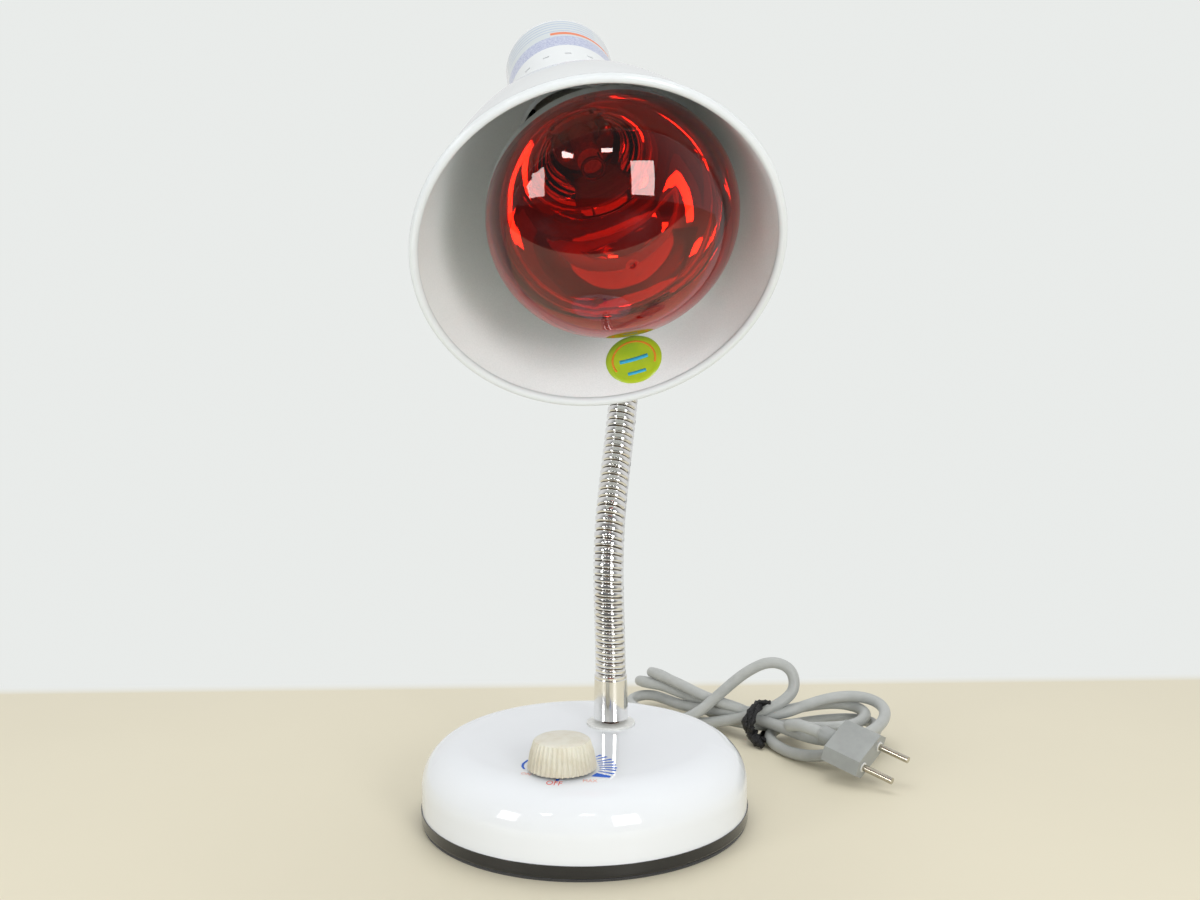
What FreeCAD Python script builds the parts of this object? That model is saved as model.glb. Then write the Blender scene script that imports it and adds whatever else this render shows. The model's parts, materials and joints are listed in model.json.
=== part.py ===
"""Infrared heat lamp with a swing neck: a weighted round base with a dimmer, a gooseneck, and a bell shade.

Frame: millimetres, +Z up, origin on the table at the centre of the round base, dimmer knob towards -Y.
Every size is a cell of the sheet Dims. A Dim carries a cell's number together with its expression, so
the sketches, primitives and placements below stay bound to the sheet.
"""
import FreeCAD, Part
import math
import os
import Sketcher
from FreeCAD import Placement, Rotation, Vector

doc = FreeCAD.newDocument("HeatLamp")
sheet = doc.addObject("Spreadsheet::Sheet", "Dims")

SIZES = {
    # --- weighted base -------------------------------------------------------------------------
    "base_radius": 90.0,        # outside of the white cover
    "pad_height": 1.2,          # felt disc under the tray
    "tray_overhang": 0.5,       # black tray edge past the cover
    "tray_floor": 2.0,
    "tray_raise": 2.5,          # how far the middle of the tray stands above its edge
    "tray_edge_width": 15.0,    # from the tray's edge in to where its middle starts to rise
    "tray_edge_height": 7.0,    # black band seen under the cover
    "tray_lip_height": 4.0,     # spigot inside the cover
    "tray_lip_wall": 2.0,
    "cover_wall": 2.4,
    "cover_side": 12.4,         # straight part of the cover's side
    "cover_shoulder": 23.3,     # radius of its rounded shoulder
    "cover_crown": 1.6,         # how much the top swells above the shoulder
    "fit_gap": 0.2,             # clearance between parts that slip together
    "round_gap": 0.3,           # and between round parts, one inside the other
    "loose_gap": 0.6,           # air between parts that only lie near each other
    "boss_radius": 4.5,
    "boss_inset": 23.0,         # screw bosses in from the cover's side
    "screw_radius": 2.0,
    "screw_head_radius": 3.6,
    "screw_head_height": 1.8,
    "screw_length": 14.0,
    "weight_radius": 57.0,
    "weight_height": 10.0,
    "weight_edge": 1.0,         # its broken edges
    "bolt_place": 34.2,         # each bolt out from the centre
    "bolt_radius": 3.0,
    "bolt_head_radius": 5.4,
    "bolt_head_height": 2.0,
    "bolt_nut_height": 5.0,
    "bolt_nut_flats": 10.0,
    "bolt_end": 1.0,            # thread past its nut
    # --- dimmer and knob -----------------------------------------------------------------------
    "knob_inset": 34.5,         # knob's centre in from the base's front
    "knob_radius": 17.9,
    "knob_top_radius": 16.2,
    "knob_height": 15.3,
    "knob_edge": 5.5,           # radius of its rounded shoulder
    "knob_crown": 0.9,          # swell of the knob's top
    "knob_gap": 1.6,            # air under the knob
    "knob_wall": 1.8,
    "knob_hub_radius": 5.5,
    "flute_count": 40,
    "flute_radius": 1.3,
    "flute_depth": 0.7,
    "flute_lean": 3.6,          # how much nearer the axis a flute is at the knob's top
    "shaft_radius": 3.0,
    "shaft_gap": 0.08,
    "bushing_radius": 5.0,
    "bushing_height": 7.0,      # threaded bushing above the cover's inner face
    "dimmer_nut_flats": 14.0,
    "dimmer_nut_height": 2.2,
    "dimmer_washer_radius": 8.0,
    "washer_height": 0.8,
    "dimmer_radius": 12.0,
    "dimmer_height": 9.0,
    "dimmer_seat": 13.0,        # radius of the flat under the cover that it is screwed to
    "dimmer_floor": 2.0,        # under the end of its shaft
    "board_length": 46.0,
    "board_width": 34.0,
    "board_height": 1.6,
    "board_behind": 22.0,       # from the knob's centre back to the board's edge
    "board_edge": 1.5,          # margin left free round the board
    "sink_length": 18.0,
    "sink_width": 6.0,
    "sink_height": 9.0,
    "fin_count": 4,
    "coil_radius": 4.8,
    "coil_wire": 2.2,
    "capacitor_length": 13.0,
    "capacitor_width": 6.0,
    "capacitor_height": 9.0,
    "terminal_length": 22.0,
    "terminal_width": 12.0,
    "terminal_height": 9.0,
    "terminal_y": 33.0,
    "clamp_inset": 40.0,        # cord clamp in from the base's back
    "clamp_length": 22.0,
    "clamp_width": 7.0,
    "clamp_wall": 3.0,
    # --- neck ----------------------------------------------------------------------------------
    "neck_x": 11.0,             # the neck stands a little to the right of the centre line
    "neck_y": 21.3,             # and behind the base's centre
    "neck_washer_radius": 13.7,
    "neck_washer_height": 1.5,
    "washer_seat": 0.5,         # depth of the flat that the washer sits on
    "thread_gap": 2.5,          # thread left bare under the ferrule
    "stud_radius": 5.0,
    "stud_bore": 3.2,
    "stud_below": 9.0,          # stud length inside the base
    "stud_above": 9.0,          # and inside the ferrule
    "neck_nut_flats": 16.0,
    "neck_nut_height": 5.0,
    "neck_nut_seat": 12.0,      # radius of the flat under the cover for it
    "ferrule_length": 25.0,
    "ferrule_foot_radius": 9.9,
    "ferrule_top_radius": 9.3,
    "ferrule_collar": 2.0,
    "ferrule_cup": 14.0,        # how deep the hose sits in a ferrule
    "link_pitch": 25.0,         # from one seam of the neck to the next
    "ball_radius": 8.75,
    "ball_shoulder": 0.6,       # ball radius less sleeve radius
    "ball_gap": 0.25,
    "link_bore": 4.6,
    "band_count": 4,            # turned grooves on each sleeve
    "band_pitch": 3.6,
    "band_depth": 0.35,
    "first_seam": 12.0,         # lowest seam above the ferrule's collar
    "last_seam": 12.0,
    "upper_ferrule_length": 24.0,
    # --- head ----------------------------------------------------------------------------------
    "housing_radius": 33.0,
    "housing_wall": 1.5,
    "housing_edge": 4.0,        # rounding of its closed end
    "fitting_radius": 10.9,     # thicker round seat for the neck inside its wall
    "fitting_height": 2.1,
    "housing_front": 128.0,     # from the plane of the shade's rim back to the housing
    "housing_length": 95.0,
    "neck_seat": 152.2,         # from the rim plane back to the neck's fitting
    "neck_side": 24.8,          # how far round from the bottom that fitting sits, degrees
    "head_turn": 7.3,           # turn of the head on that fitting, degrees
    "slot_count": 16,
    "slot_length": 3.6,
    "slot_height": 1.4,
    "slot_place": 169.0,
    "shade_wall": 1.0,
    "shade_mouth": 90.0,        # outside radius of the bell where it meets the middle of the rim bead
    "shade_waist": 66.0,        # where the bell's two arcs meet, behind the rim plane
    "shade_waist_radius": 71.6,
    "shade_front_curve": 420.0,
    "shade_back_curve": 186.0,
    "bead_radius": 2.3,
    "collar_depth": 13.0,
    "shade_screw_radius": 1.5,
    "shade_screw_head": 2.8,
    "socket_lean": 4.4,         # the lampholder stands a little askew on its bracket, degrees
    "socket_side": 49.5,        # and leans this far round from the right to the top, degrees
    "socket_sunk": 0.5,         # lampholder's mouth behind the housing's front edge
    "socket_length": 53.5,
    "socket_clearance": 12.0,   # from the lampholder out to the housing
    "socket_step": 4.0,         # its rear part is thinner by this
    "socket_bore": 14.6,
    "socket_depth": 26.5,
    "socket_edge": 1.5,         # rounding of its mouth
    "contact_height": 2.0,
    "shell_wall": 1.0,
    "bracket_height": 1.5,
    "bracket_width": 14.0,
    "bracket_foot": 2.0,        # its feet behind the housing's front edge
    # --- bulb ----------------------------------------------------------------------------------
    "bulb_radius": 63.2,
    "bulb_neck_length": 9.5,    # glass between the back curve and the cap
    "bulb_nose": 48.0,          # widest plane to the front of the glass
    "bulb_neck_radius": 19.0,
    "bulb_corner": 35.0,        # radius between the bulb's front dome and its widest circle
    "bulb_back_curve": 60.0,
    "bulb_waist_radius": 42.6,  # where the back curve turns into the neck
    "bulb_wall": 1.2,
    "cap_radius": 13.2,
    "cap_length": 25.0,
    "stem_radius": 7.0,
    "stem_length": 38.0,
    "filament_radius": 6.0,
    "filament_wire": 1.0,
    "filament_stand": 10.0,     # from the stem to the filament ring
    # --- cord ----------------------------------------------------------------------------------
    "cord_radius": 3.7,
    "grommet_radius": 7.0,
    "grommet_length": 10.0,
    "grommet_wall": 1.6,
    "grommet_flange": 3.2,
    "grommet_inset": 1.4,       # its inner flange clears the cover's curved wall by this
    "cord_height": 20.0,
    "plug_width": 35.0,
    "plug_height": 14.0,
    "plug_length": 24.0,
    "plug_bevel": 5.2,
    "relief_radius": 5.3,       # strain relief behind the plug
    "relief_length": 9.6,
    "collar_radius": 3.0,       # white collar round each pin
    "collar_height": 0.6,
    "pin_radius": 2.0,
    "pin_length": 19.0,
    "pin_spacing": 18.6,
    "tie_width": 6.0,
    "tie_wall": 1.8,
}

# Tilt of each seam of the neck at rest, in degrees, from the base up to the head.
NECK_BENDS = (0, 5, 16, 12, -2, -7, 1, 1, -5, -14, -21, -26)
NECK_SWAYS = (-1.5, -0.5, 0.5, 1, 1.5, 1, -1.5, -2.5, -3.5, -3.5, -3.5, -4)


# =============================== sizes and expressions ===========================================
class Dim:
    """A number together with the expression over the sheet that gives it."""

    def __init__(self, value, text):
        self.value = value
        self.text = text

    def __add__(self, other):
        return joined(self, other, "+", lambda a, b: a + b)

    def __radd__(self, other):
        return joined(other, self, "+", lambda a, b: a + b)

    def __sub__(self, other):
        return joined(self, other, "-", lambda a, b: a - b)

    def __rsub__(self, other):
        return joined(other, self, "-", lambda a, b: a - b)

    def __mul__(self, other):
        return joined(self, other, "*", lambda a, b: a * b)

    def __rmul__(self, other):
        return joined(other, self, "*", lambda a, b: a * b)

    def __truediv__(self, other):
        return joined(self, other, "/", lambda a, b: a / b)

    def __neg__(self):
        return Dim(-self.value, f"(0 - {self.text})")


def as_dim(number):
    return number if isinstance(number, Dim) else Dim(float(number), f"({number})")


def joined(left, right, sign, work):
    left, right = as_dim(left), as_dim(right)
    return Dim(work(left.value, right.value), f"({left.text} {sign} {right.text})")


def root(square):
    return Dim(math.sqrt(square.value), f"sqrt({square.text})")


def leg(slant, side):
    """The third side of a right triangle."""
    return root(slant * slant - side * side)


class Sizes:
    """Reads a cell of the sheet as a Dim."""

    def __getattr__(self, name):
        return Dim(float(SIZES[name]), f"Dims.{name}")


D = Sizes()
for row, (name, number) in enumerate(SIZES.items(), start=1):
    sheet.set(f"A{row}", name)
    sheet.set(f"B{row}", str(number))
    sheet.setAlias(f"B{row}", name)
doc.recompute()


# =============================== drawing and feature helpers =====================================
PARTS = []      # every finished sub-part, in the order it is made


def bind(thing, path, size):
    """Give a property of a feature a size and tie it to the sheet."""
    size = as_dim(size)
    if "Dims." in size.text:
        thing.setExpression(path, size.text)
    elif "." not in path:
        setattr(thing, path, size.value)


def plane_of(body, role):
    return next(item for item in body.Origin.OriginFeatures if item.Role == role)


def new_body(label):
    body = doc.addObject("PartDesign::Body", label)
    body.Label = label
    PARTS.append(body)
    return body


def sketch_on(body, role, offset=0.0):
    """A sketch on one of the body's own origin planes, raised from it by the offset."""
    sketch = body.newObject("Sketcher::SketchObject", body.Name + "_sketch")
    sketch.AttachmentSupport = [(plane_of(body, role), "")]
    sketch.MapMode = "FlatFace"
    offset = as_dim(offset)
    sketch.AttachmentOffset = Placement(Vector(0, 0, offset.value), Rotation())
    bind(sketch, "AttachmentOffset.Base.z", offset)
    return sketch


def pin(sketch, geometry, end, across, up):
    """Hold one point of the sketch at its distances from the sketch's origin."""
    for kind, size in (("DistanceX", across), ("DistanceY", up)):
        size = as_dim(size)
        index = sketch.addConstraint(Sketcher.Constraint(kind, -1, 1, geometry, end, size.value))
        if "Dims." in size.text:
            sketch.setExpression(f"Constraints[{index}]", size.text)


def arc_between(start, end, radius):
    """The shorter arc from start to end. A positive radius turns left, a negative one right."""
    chord = end - start
    half = chord.Length / 2
    rise = math.sqrt(max(radius * radius - half * half, 0.0))
    aside = Vector(-chord.y, chord.x, 0).normalize()
    centre = (start + end) / 2 + aside * math.copysign(rise, radius)
    first = math.atan2(start.y - centre.y, start.x - centre.x)
    last = math.atan2(end.y - centre.y, end.x - centre.x)
    circle = Part.Circle(centre, Vector(0, 0, 1), abs(radius))
    if radius > 0:
        return Part.ArcOfCircle(circle, first, last if last > first else last + 2 * math.pi)
    return Part.ArcOfCircle(circle, last, first if first > last else first + 2 * math.pi)


def outline(sketch, corners):
    """Draw a closed outline. A corner's third value is the radius of the edge that arrives there."""
    flat = [Vector(as_dim(corner[0]).value, as_dim(corner[1]).value, 0) for corner in corners]
    ends = []
    for place, corner in enumerate(corners):
        start, end = flat[place - 1], flat[place]
        if len(corner) == 3:
            radius = as_dim(corner[2])
            edge = sketch.addGeometry(arc_between(start, end, radius.value), False)
            ends.append((edge, (1, 2) if radius.value > 0 else (2, 1), corner))
        else:
            edge = sketch.addGeometry(Part.LineSegment(start, end), False)
            ends.append((edge, (1, 2), corner))
    for place, (edge, (start, end), corner) in enumerate(ends):
        before, (_, before_end), _ = ends[place - 1]
        sketch.addConstraint(Sketcher.Constraint("Coincident", before, before_end, edge, start))
        pin(sketch, edge, end, corner[0], corner[1])
        if len(corner) == 3:
            radius = as_dim(corner[2])
            index = sketch.addConstraint(Sketcher.Constraint("Radius", edge, abs(radius.value)))
            text = radius.text if radius.value > 0 else f"(0 - {radius.text})"
            if "Dims." in text:
                sketch.setExpression(f"Constraints[{index}]", text)


def circle(sketch, across, up, radius):
    centre = Vector(as_dim(across).value, as_dim(up).value, 0)
    radius = as_dim(radius)
    edge = sketch.addGeometry(Part.Circle(centre, Vector(0, 0, 1), radius.value), False)
    pin(sketch, edge, 3, across, up)
    index = sketch.addConstraint(Sketcher.Constraint("Radius", edge, radius.value))
    sketch.setExpression(f"Constraints[{index}]", radius.text)


def hexagon(sketch, across, up, flats):
    """A hexagon given by its width across flats."""
    corner, half = flats / math.sqrt(3), flats / 2
    outline(sketch, [(across + corner, up), (across + corner / 2, up + half),
                     (across - corner / 2, up + half), (across - corner, up),
                     (across - corner / 2, up - half), (across + corner / 2, up - half)])


def box_corners(x_from, x_to, y_from, y_to):
    return [(x_from, y_from), (x_to, y_from), (x_to, y_to), (x_from, y_to)]


def revolve(body, corners, kind="PartDesign::Revolution"):
    """Turn a half outline (radius, height) about the body's Z axis."""
    sketch = sketch_on(body, "XZ_Plane")
    outline(sketch, corners)
    return turn(body, sketch, kind)


def turn(body, sketch, kind="PartDesign::Revolution"):
    feature = body.newObject(kind, body.Name + "_turn")
    feature.Profile = sketch
    feature.ReferenceAxis = (sketch, ["V_Axis"])
    feature.Angle = 360
    body.Tip = feature
    return feature


def raise_up(body, draw, bottom, height):
    """Pad what draw() puts in a sketch, from the bottom level up by the height."""
    sketch = sketch_on(body, "XY_Plane", bottom)
    draw(sketch)
    feature = body.newObject("PartDesign::Pad", body.Name + "_pad")
    feature.Profile = sketch
    bind(feature, "Length", height)
    body.Tip = feature
    return feature


def sink(body, draw, top, depth):
    """Pocket what draw() puts in a sketch, from the top level down by the depth."""
    sketch = sketch_on(body, "XY_Plane", top)
    draw(sketch)
    feature = body.newObject("PartDesign::Pocket", body.Name + "_pocket")
    feature.Profile = sketch
    bind(feature, "Length", depth)
    body.Tip = feature
    return feature


def around(body, feature, count):
    """Repeat a feature evenly about the body's Z axis."""
    pattern = body.newObject("PartDesign::PolarPattern", body.Name + "_ring")
    pattern.Originals = [feature]
    pattern.Axis = (plane_of(body, "Z_Axis"), [""])
    pattern.Angle = 360
    pattern.Occurrences = int(as_dim(count).value)
    body.Tip = pattern
    return pattern


def turned(label, corners):
    body = new_body(label)
    revolve(body, corners)
    return body


def padded(label, draw, bottom, height):
    body = new_body(label)
    raise_up(body, draw, bottom, height)
    return body


def ring_draw(x, y, outer, inner):
    def draw(sketch):
        circle(sketch, x, y, outer)
        circle(sketch, x, y, inner)
    return draw


def disc_draw(x, y, radius):
    return lambda sketch: circle(sketch, x, y, radius)


def box_draw(x_from, x_to, y_from, y_to):
    return lambda sketch: outline(sketch, box_corners(x_from, x_to, y_from, y_to))


def stand(body, across, back, up, spin=None):
    """Stand a finished body at a place in the lamp's frame."""
    spin = spin or Rotation()
    across, back, up = as_dim(across), as_dim(back), as_dim(up)
    body.Placement = Placement(Vector(across.value, back.value, up.value), spin)
    for path, size in (("x", across), ("y", back), ("z", up)):
        bind(body, f"Placement.Base.{path}", size)
    return body


def shape_part(label, shape):
    """A sub-part whose shape is worked out in code."""
    feature = doc.addObject("Part::Feature", label)
    feature.Label = label
    feature.Shape = shape
    PARTS.append(feature)
    return feature


# =============================== levels of the base ==============================================
tray_bottom = D.pad_height
tray_radius = D.base_radius + D.tray_overhang
cover_foot = D.pad_height + D.tray_edge_height
side_top = cover_foot + D.cover_side
shoulder_top = side_top + D.cover_shoulder
crown_top = shoulder_top + D.cover_crown
shoulder_radius = D.base_radius - D.cover_shoulder
crown_radius = (shoulder_radius * shoulder_radius + D.cover_crown * D.cover_crown) / (2 * D.cover_crown)
inner_radius = D.base_radius - D.cover_wall
tray_top = tray_bottom + D.tray_raise + D.tray_floor
weight_top = tray_top + D.weight_height
boss_circle = D.base_radius - D.boss_inset
knob_back = D.knob_inset - D.base_radius
dimmer_top = shoulder_top - D.cover_wall - D.loose_gap
board_top = dimmer_top - D.dimmer_height
neck_seat_level = crown_top - D.washer_seat
neck_underside = crown_top - D.cover_wall - D.washer_seat * 2


# =============================== base ============================================================
def make_foot_pad():
    return padded("foot_pad", disc_draw(0, 0, tray_radius - D.tray_overhang * 2), 0, D.pad_height)


def make_tray():
    """A black tray: its edge stands on the felt, its middle is raised, a spigot fits the cover."""
    slope_from = tray_radius - D.tray_edge_width
    slope_to = slope_from - D.tray_raise
    spigot = inner_radius - D.fit_gap
    tray = turned("base_tray", [
        (0, tray_bottom + D.tray_raise), (slope_to, tray_bottom + D.tray_raise),
        (slope_from, tray_bottom), (tray_radius - D.tray_floor, tray_bottom),
        (tray_radius, tray_bottom + D.tray_floor, D.tray_floor), (tray_radius, cover_foot),
        (spigot, cover_foot), (spigot, cover_foot + D.tray_lip_height),
        (spigot - D.tray_lip_wall, cover_foot + D.tray_lip_height),
        (spigot - D.tray_lip_wall, tray_bottom + D.tray_floor),
        (slope_from, tray_bottom + D.tray_floor), (slope_to, tray_top), (0, tray_top)])
    screws = sink(tray, disc_draw(boss_circle, 0, D.screw_radius), tray_top, D.tray_floor * 2)
    around(tray, screws, 3)
    sink(tray, bolt_holes, tray_top, D.tray_floor * 2)
    return tray


def bolt_places():
    """Two bolts hold the weight, one on either side of its centre."""
    return (D.bolt_place, -D.bolt_place)


def bolt_holes(sketch):
    for place in bolt_places():
        circle(sketch, place, 0, D.bolt_radius)


def make_weight():
    edge = D.weight_edge
    weight = turned("base_weight", [
        (0, tray_top), (D.weight_radius - edge, tray_top), (D.weight_radius, tray_top + edge),
        (D.weight_radius, weight_top - edge), (D.weight_radius - edge, weight_top), (0, weight_top)])
    sink(weight, bolt_holes, weight_top, D.weight_height)
    return weight


def make_weight_bolts():
    bolts = new_body("weight_bolts")
    bolts.AllowCompound = True
    head_top = tray_bottom + D.tray_raise
    for place in bolt_places():
        raise_up(bolts, disc_draw(place, 0, D.bolt_head_radius),
                 head_top - D.bolt_head_height, D.bolt_head_height)
        shank = weight_top + D.bolt_nut_height + D.bolt_end - head_top
        raise_up(bolts, disc_draw(place, 0, D.bolt_radius), head_top, shank)
    return bolts


def make_weight_nuts():
    nuts = new_body("weight_nuts")
    nuts.AllowCompound = True

    def draw(sketch):
        for place in bolt_places():
            hexagon(sketch, place, as_dim(0), D.bolt_nut_flats)
            circle(sketch, place, 0, D.bolt_radius)
    raise_up(nuts, draw, weight_top, D.bolt_nut_height)
    return nuts


def make_cover():
    """The white dome: upright side, round shoulder, low crown, with seats and bosses for its parts."""
    wall = D.cover_wall
    cover = turned("base_cover", [
        (D.base_radius, cover_foot), (D.base_radius, side_top),
        (shoulder_radius, shoulder_top, D.cover_shoulder), (0, crown_top, crown_radius),
        (0, crown_top - wall), (shoulder_radius, shoulder_top - wall, -crown_radius),
        (inner_radius, side_top, -(D.cover_shoulder - wall)), (inner_radius, cover_foot)])
    boss_top = shoulder_top - wall / 2
    boss = raise_up(cover, disc_draw(boss_circle, 0, D.boss_radius), tray_top, boss_top - tray_top)
    around(cover, boss, 3)
    pilot = sink(cover, disc_draw(boss_circle, 0, D.screw_radius),
                 tray_top + D.screw_length, D.screw_length * 2)
    around(cover, pilot, 3)
    raise_up(cover, disc_draw(0, knob_back, D.dimmer_seat), dimmer_top, boss_top - dimmer_top)
    raise_up(cover, disc_draw(D.neck_x, D.neck_y, D.neck_nut_seat), neck_underside,
             shoulder_top - neck_underside)
    sink(cover, disc_draw(0, knob_back, D.dimmer_washer_radius + D.fit_gap), crown_top,
         crown_top - shoulder_top)
    sink(cover, disc_draw(0, knob_back, D.bushing_radius + D.fit_gap), crown_top, D.cover_wall * 3)
    sink(cover, disc_draw(D.neck_x, D.neck_y, D.neck_washer_radius + D.fit_gap), crown_top,
         D.washer_seat)
    sink(cover, disc_draw(D.neck_x, D.neck_y, D.stud_radius + D.fit_gap), crown_top,
         D.cover_wall * 3)
    exit_sketch = sketch_on(cover, "XZ_Plane")
    circle(exit_sketch, 0, D.cord_height, grommet_neck)
    hole = cover.newObject("PartDesign::Pocket", "cord_hole")
    hole.Profile = exit_sketch
    hole.Reversed = False
    bind(hole, "Length", D.base_radius + D.cover_wall)
    cover.Tip = hole
    return cover


def make_cover_screws():
    screws = new_body("base_screws")
    screws.AllowCompound = True
    head_top = tray_bottom + D.tray_raise
    raise_up(screws, disc_draw(boss_circle, 0, D.screw_head_radius),
             head_top - D.screw_head_height, D.screw_head_height)
    shank = raise_up(screws, disc_draw(boss_circle, 0, D.screw_radius), head_top, D.screw_length)
    pattern = around(screws, shank, 3)
    pattern.Originals = [feature for feature in screws.Group if feature.TypeId == "PartDesign::Pad"]
    return screws


# =============================== dimmer and knob =================================================
bushing_top = shoulder_top + D.bushing_height
knob_foot = shoulder_top + D.knob_gap
pot_floor = board_top + D.dimmer_floor


def make_dimmer():
    """The dimmer's pot hangs under the cover; its threaded bushing comes up through it."""
    bore = D.shaft_radius + D.shaft_gap
    return stand(turned("dimmer_body", [
        (0, board_top), (D.dimmer_radius, board_top), (D.dimmer_radius, dimmer_top),
        (D.bushing_radius, dimmer_top), (D.bushing_radius, bushing_top), (bore, bushing_top),
        (bore, pot_floor), (0, pot_floor)]), 0, knob_back, 0)


def make_dimmer_fasteners():
    washer = padded("dimmer_washer", ring_draw(0, 0, D.dimmer_washer_radius, D.bushing_radius),
                    shoulder_top, D.washer_height)

    def draw(sketch):
        hexagon(sketch, as_dim(0), as_dim(0), D.dimmer_nut_flats)
        circle(sketch, 0, 0, D.bushing_radius)
    nut = padded("dimmer_nut", draw, shoulder_top + D.washer_height, D.dimmer_nut_height)
    for part in (washer, nut):
        stand(part, 0, knob_back, 0)


def make_knob():
    """A fluted cup with a hub, which grips the dimmer's shaft."""
    ceiling = D.knob_height - D.knob_wall
    shoulder = D.knob_top_radius - D.knob_edge
    dome = (shoulder * shoulder + D.knob_crown * D.knob_crown) / (2 * D.knob_crown)
    hub_foot = bushing_top + D.knob_gap - knob_foot
    knob = turned("knob", [
        (D.knob_radius, 0), (D.knob_top_radius, D.knob_height - D.knob_edge),
        (shoulder, D.knob_height, D.knob_edge), (0, D.knob_height + D.knob_crown, dome),
        (0, ceiling), (D.shaft_radius, ceiling), (D.shaft_radius, hub_foot),
        (D.knob_hub_radius, hub_foot), (D.knob_hub_radius, ceiling - D.knob_wall),
        (shoulder, ceiling - D.knob_wall),
        (D.knob_top_radius - D.knob_wall, D.knob_height - D.knob_edge),
        (D.knob_radius - D.knob_wall, 0)])
    flute_place = D.knob_radius + D.flute_radius - D.flute_depth
    flute_foot = sketch_on(knob, "XY_Plane")
    circle(flute_foot, flute_place, 0, D.flute_radius)
    flute_top = sketch_on(knob, "XY_Plane", D.knob_height)
    circle(flute_top, flute_place - D.flute_lean, 0, D.flute_radius)
    flute = knob.newObject("PartDesign::SubtractiveLoft", "knob_flute")
    flute.Profile = flute_foot
    flute.Sections = [flute_top]
    knob.Tip = flute
    around(knob, flute, D.flute_count)
    stand(knob, 0, knob_back, knob_foot)
    shaft_foot = pot_floor + D.fit_gap
    shaft = turned("knob_shaft", [
        (0, shaft_foot), (D.shaft_radius, shaft_foot), (D.shaft_radius, knob_foot + ceiling),
        (0, knob_foot + ceiling)])
    stand(shaft, 0, knob_back, 0)


def make_board():
    """The circuit board is soldered to the pot's underside and carries the dimmer's parts."""
    half = D.board_length / 2
    back = knob_back + D.board_behind
    padded("circuit_board", box_draw(-half, half, back - D.board_width, back),
           board_top - D.board_height, D.board_height)
    sink_from = half - D.board_edge - D.sink_width
    middle = back - D.board_width / 2
    heat_sink = padded("heat_sink", box_draw(sink_from, half - D.board_edge,
                                             middle - D.sink_length / 2, middle + D.sink_length / 2),
                       board_top, D.sink_height)
    fin_pitch = D.sink_length / D.fin_count

    def fin_gaps(sketch):
        for number in range(1, SIZES["fin_count"]):
            place = middle - D.sink_length / 2 + fin_pitch * number
            outline(sketch, box_corners(sink_from + D.sink_width / 3, half,
                                        place - fin_pitch / 4, place + fin_pitch / 4))
    sink(heat_sink, fin_gaps, board_top + D.sink_height, D.sink_height)
    capacitor_from = D.board_edge * 2
    padded("capacitor", box_draw(capacitor_from, capacitor_from + D.capacitor_length,
                                 back - D.board_edge - D.capacitor_width, back - D.board_edge),
           board_top, D.capacitor_height)
    coil = new_body("filter_coil")
    sketch = sketch_on(coil, "XZ_Plane")
    circle(sketch, D.coil_radius, D.coil_wire, D.coil_wire)
    turn(coil, sketch)
    reach = D.coil_radius + D.coil_wire
    stand(coil, -(half - reach - D.board_edge / 4), back - reach - D.board_edge / 4, board_top)


# =============================== mains cord inside the base ======================================
grommet_neck = D.cord_radius + D.grommet_wall
grommet_end = D.base_radius + D.grommet_length


def make_cord_entry():
    terminal = padded("terminal_block", box_draw(-D.terminal_length / 2, D.terminal_length / 2,
                                                 D.terminal_y - D.terminal_width / 2,
                                                 D.terminal_y + D.terminal_width / 2),
                      weight_top, D.terminal_height)
    third = D.terminal_length / 3

    def screw_wells(sketch):
        for number in (-1, 0, 1):
            circle(sketch, third * number, D.terminal_y, D.screw_radius)
    sink(terminal, screw_wells, weight_top + D.terminal_height, D.terminal_height / 2)

    saddle_top = D.cord_height + D.cord_radius + D.clamp_wall
    saddle = new_body("cord_clamp")
    sketch = sketch_on(saddle, "XZ_Plane", D.clamp_inset - D.base_radius - D.clamp_width / 2)
    outline(sketch, box_corners(-D.clamp_length / 2, D.clamp_length / 2, weight_top, saddle_top))
    circle(sketch, 0, D.cord_height, D.cord_radius)
    pad = saddle.newObject("PartDesign::Pad", "saddle_pad")
    pad.Profile = sketch
    bind(pad, "Length", D.clamp_width)
    saddle.Tip = pad

    inside = inner_radius - D.grommet_inset
    grommet = turned("cord_grommet", [
        (D.cord_radius, inside - D.grommet_wall), (D.grommet_radius, inside - D.grommet_wall),
        (D.grommet_radius, inside), (grommet_neck, inside), (grommet_neck, D.base_radius),
        (D.grommet_radius, D.base_radius), (D.grommet_radius, D.base_radius + D.grommet_flange),
        (grommet_neck, grommet_end), (D.cord_radius, grommet_end)])
    stand(grommet, 0, 0, D.cord_height, Rotation(Vector(1, 0, 0), -90))

    tail = turned("inner_cord", [(0, D.terminal_y + D.terminal_width / 2),
                                 (D.cord_radius, D.terminal_y + D.terminal_width / 2),
                                 (D.cord_radius, grommet_end), (0, grommet_end)])
    stand(tail, 0, 0, D.cord_height, Rotation(Vector(1, 0, 0), -90))


# =============================== gooseneck =======================================================
washer_top = neck_seat_level + D.neck_washer_height
ferrule_foot = washer_top + D.thread_gap
first_pivot = ferrule_foot + D.ferrule_length + D.first_seam
sleeve_radius = D.ball_radius - D.ball_shoulder
cup_radius = D.ball_radius + D.ball_gap
ball_top = leg(D.ball_radius, sleeve_radius)
ball_foot = leg(D.ball_radius, D.link_bore)
cup_rim = leg(cup_radius, sleeve_radius)
cup_floor = leg(cup_radius, D.link_bore)
X_AXIS, Y_AXIS, Z_AXIS = Vector(1, 0, 0), Vector(0, 1, 0), Vector(0, 0, 1)


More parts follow.
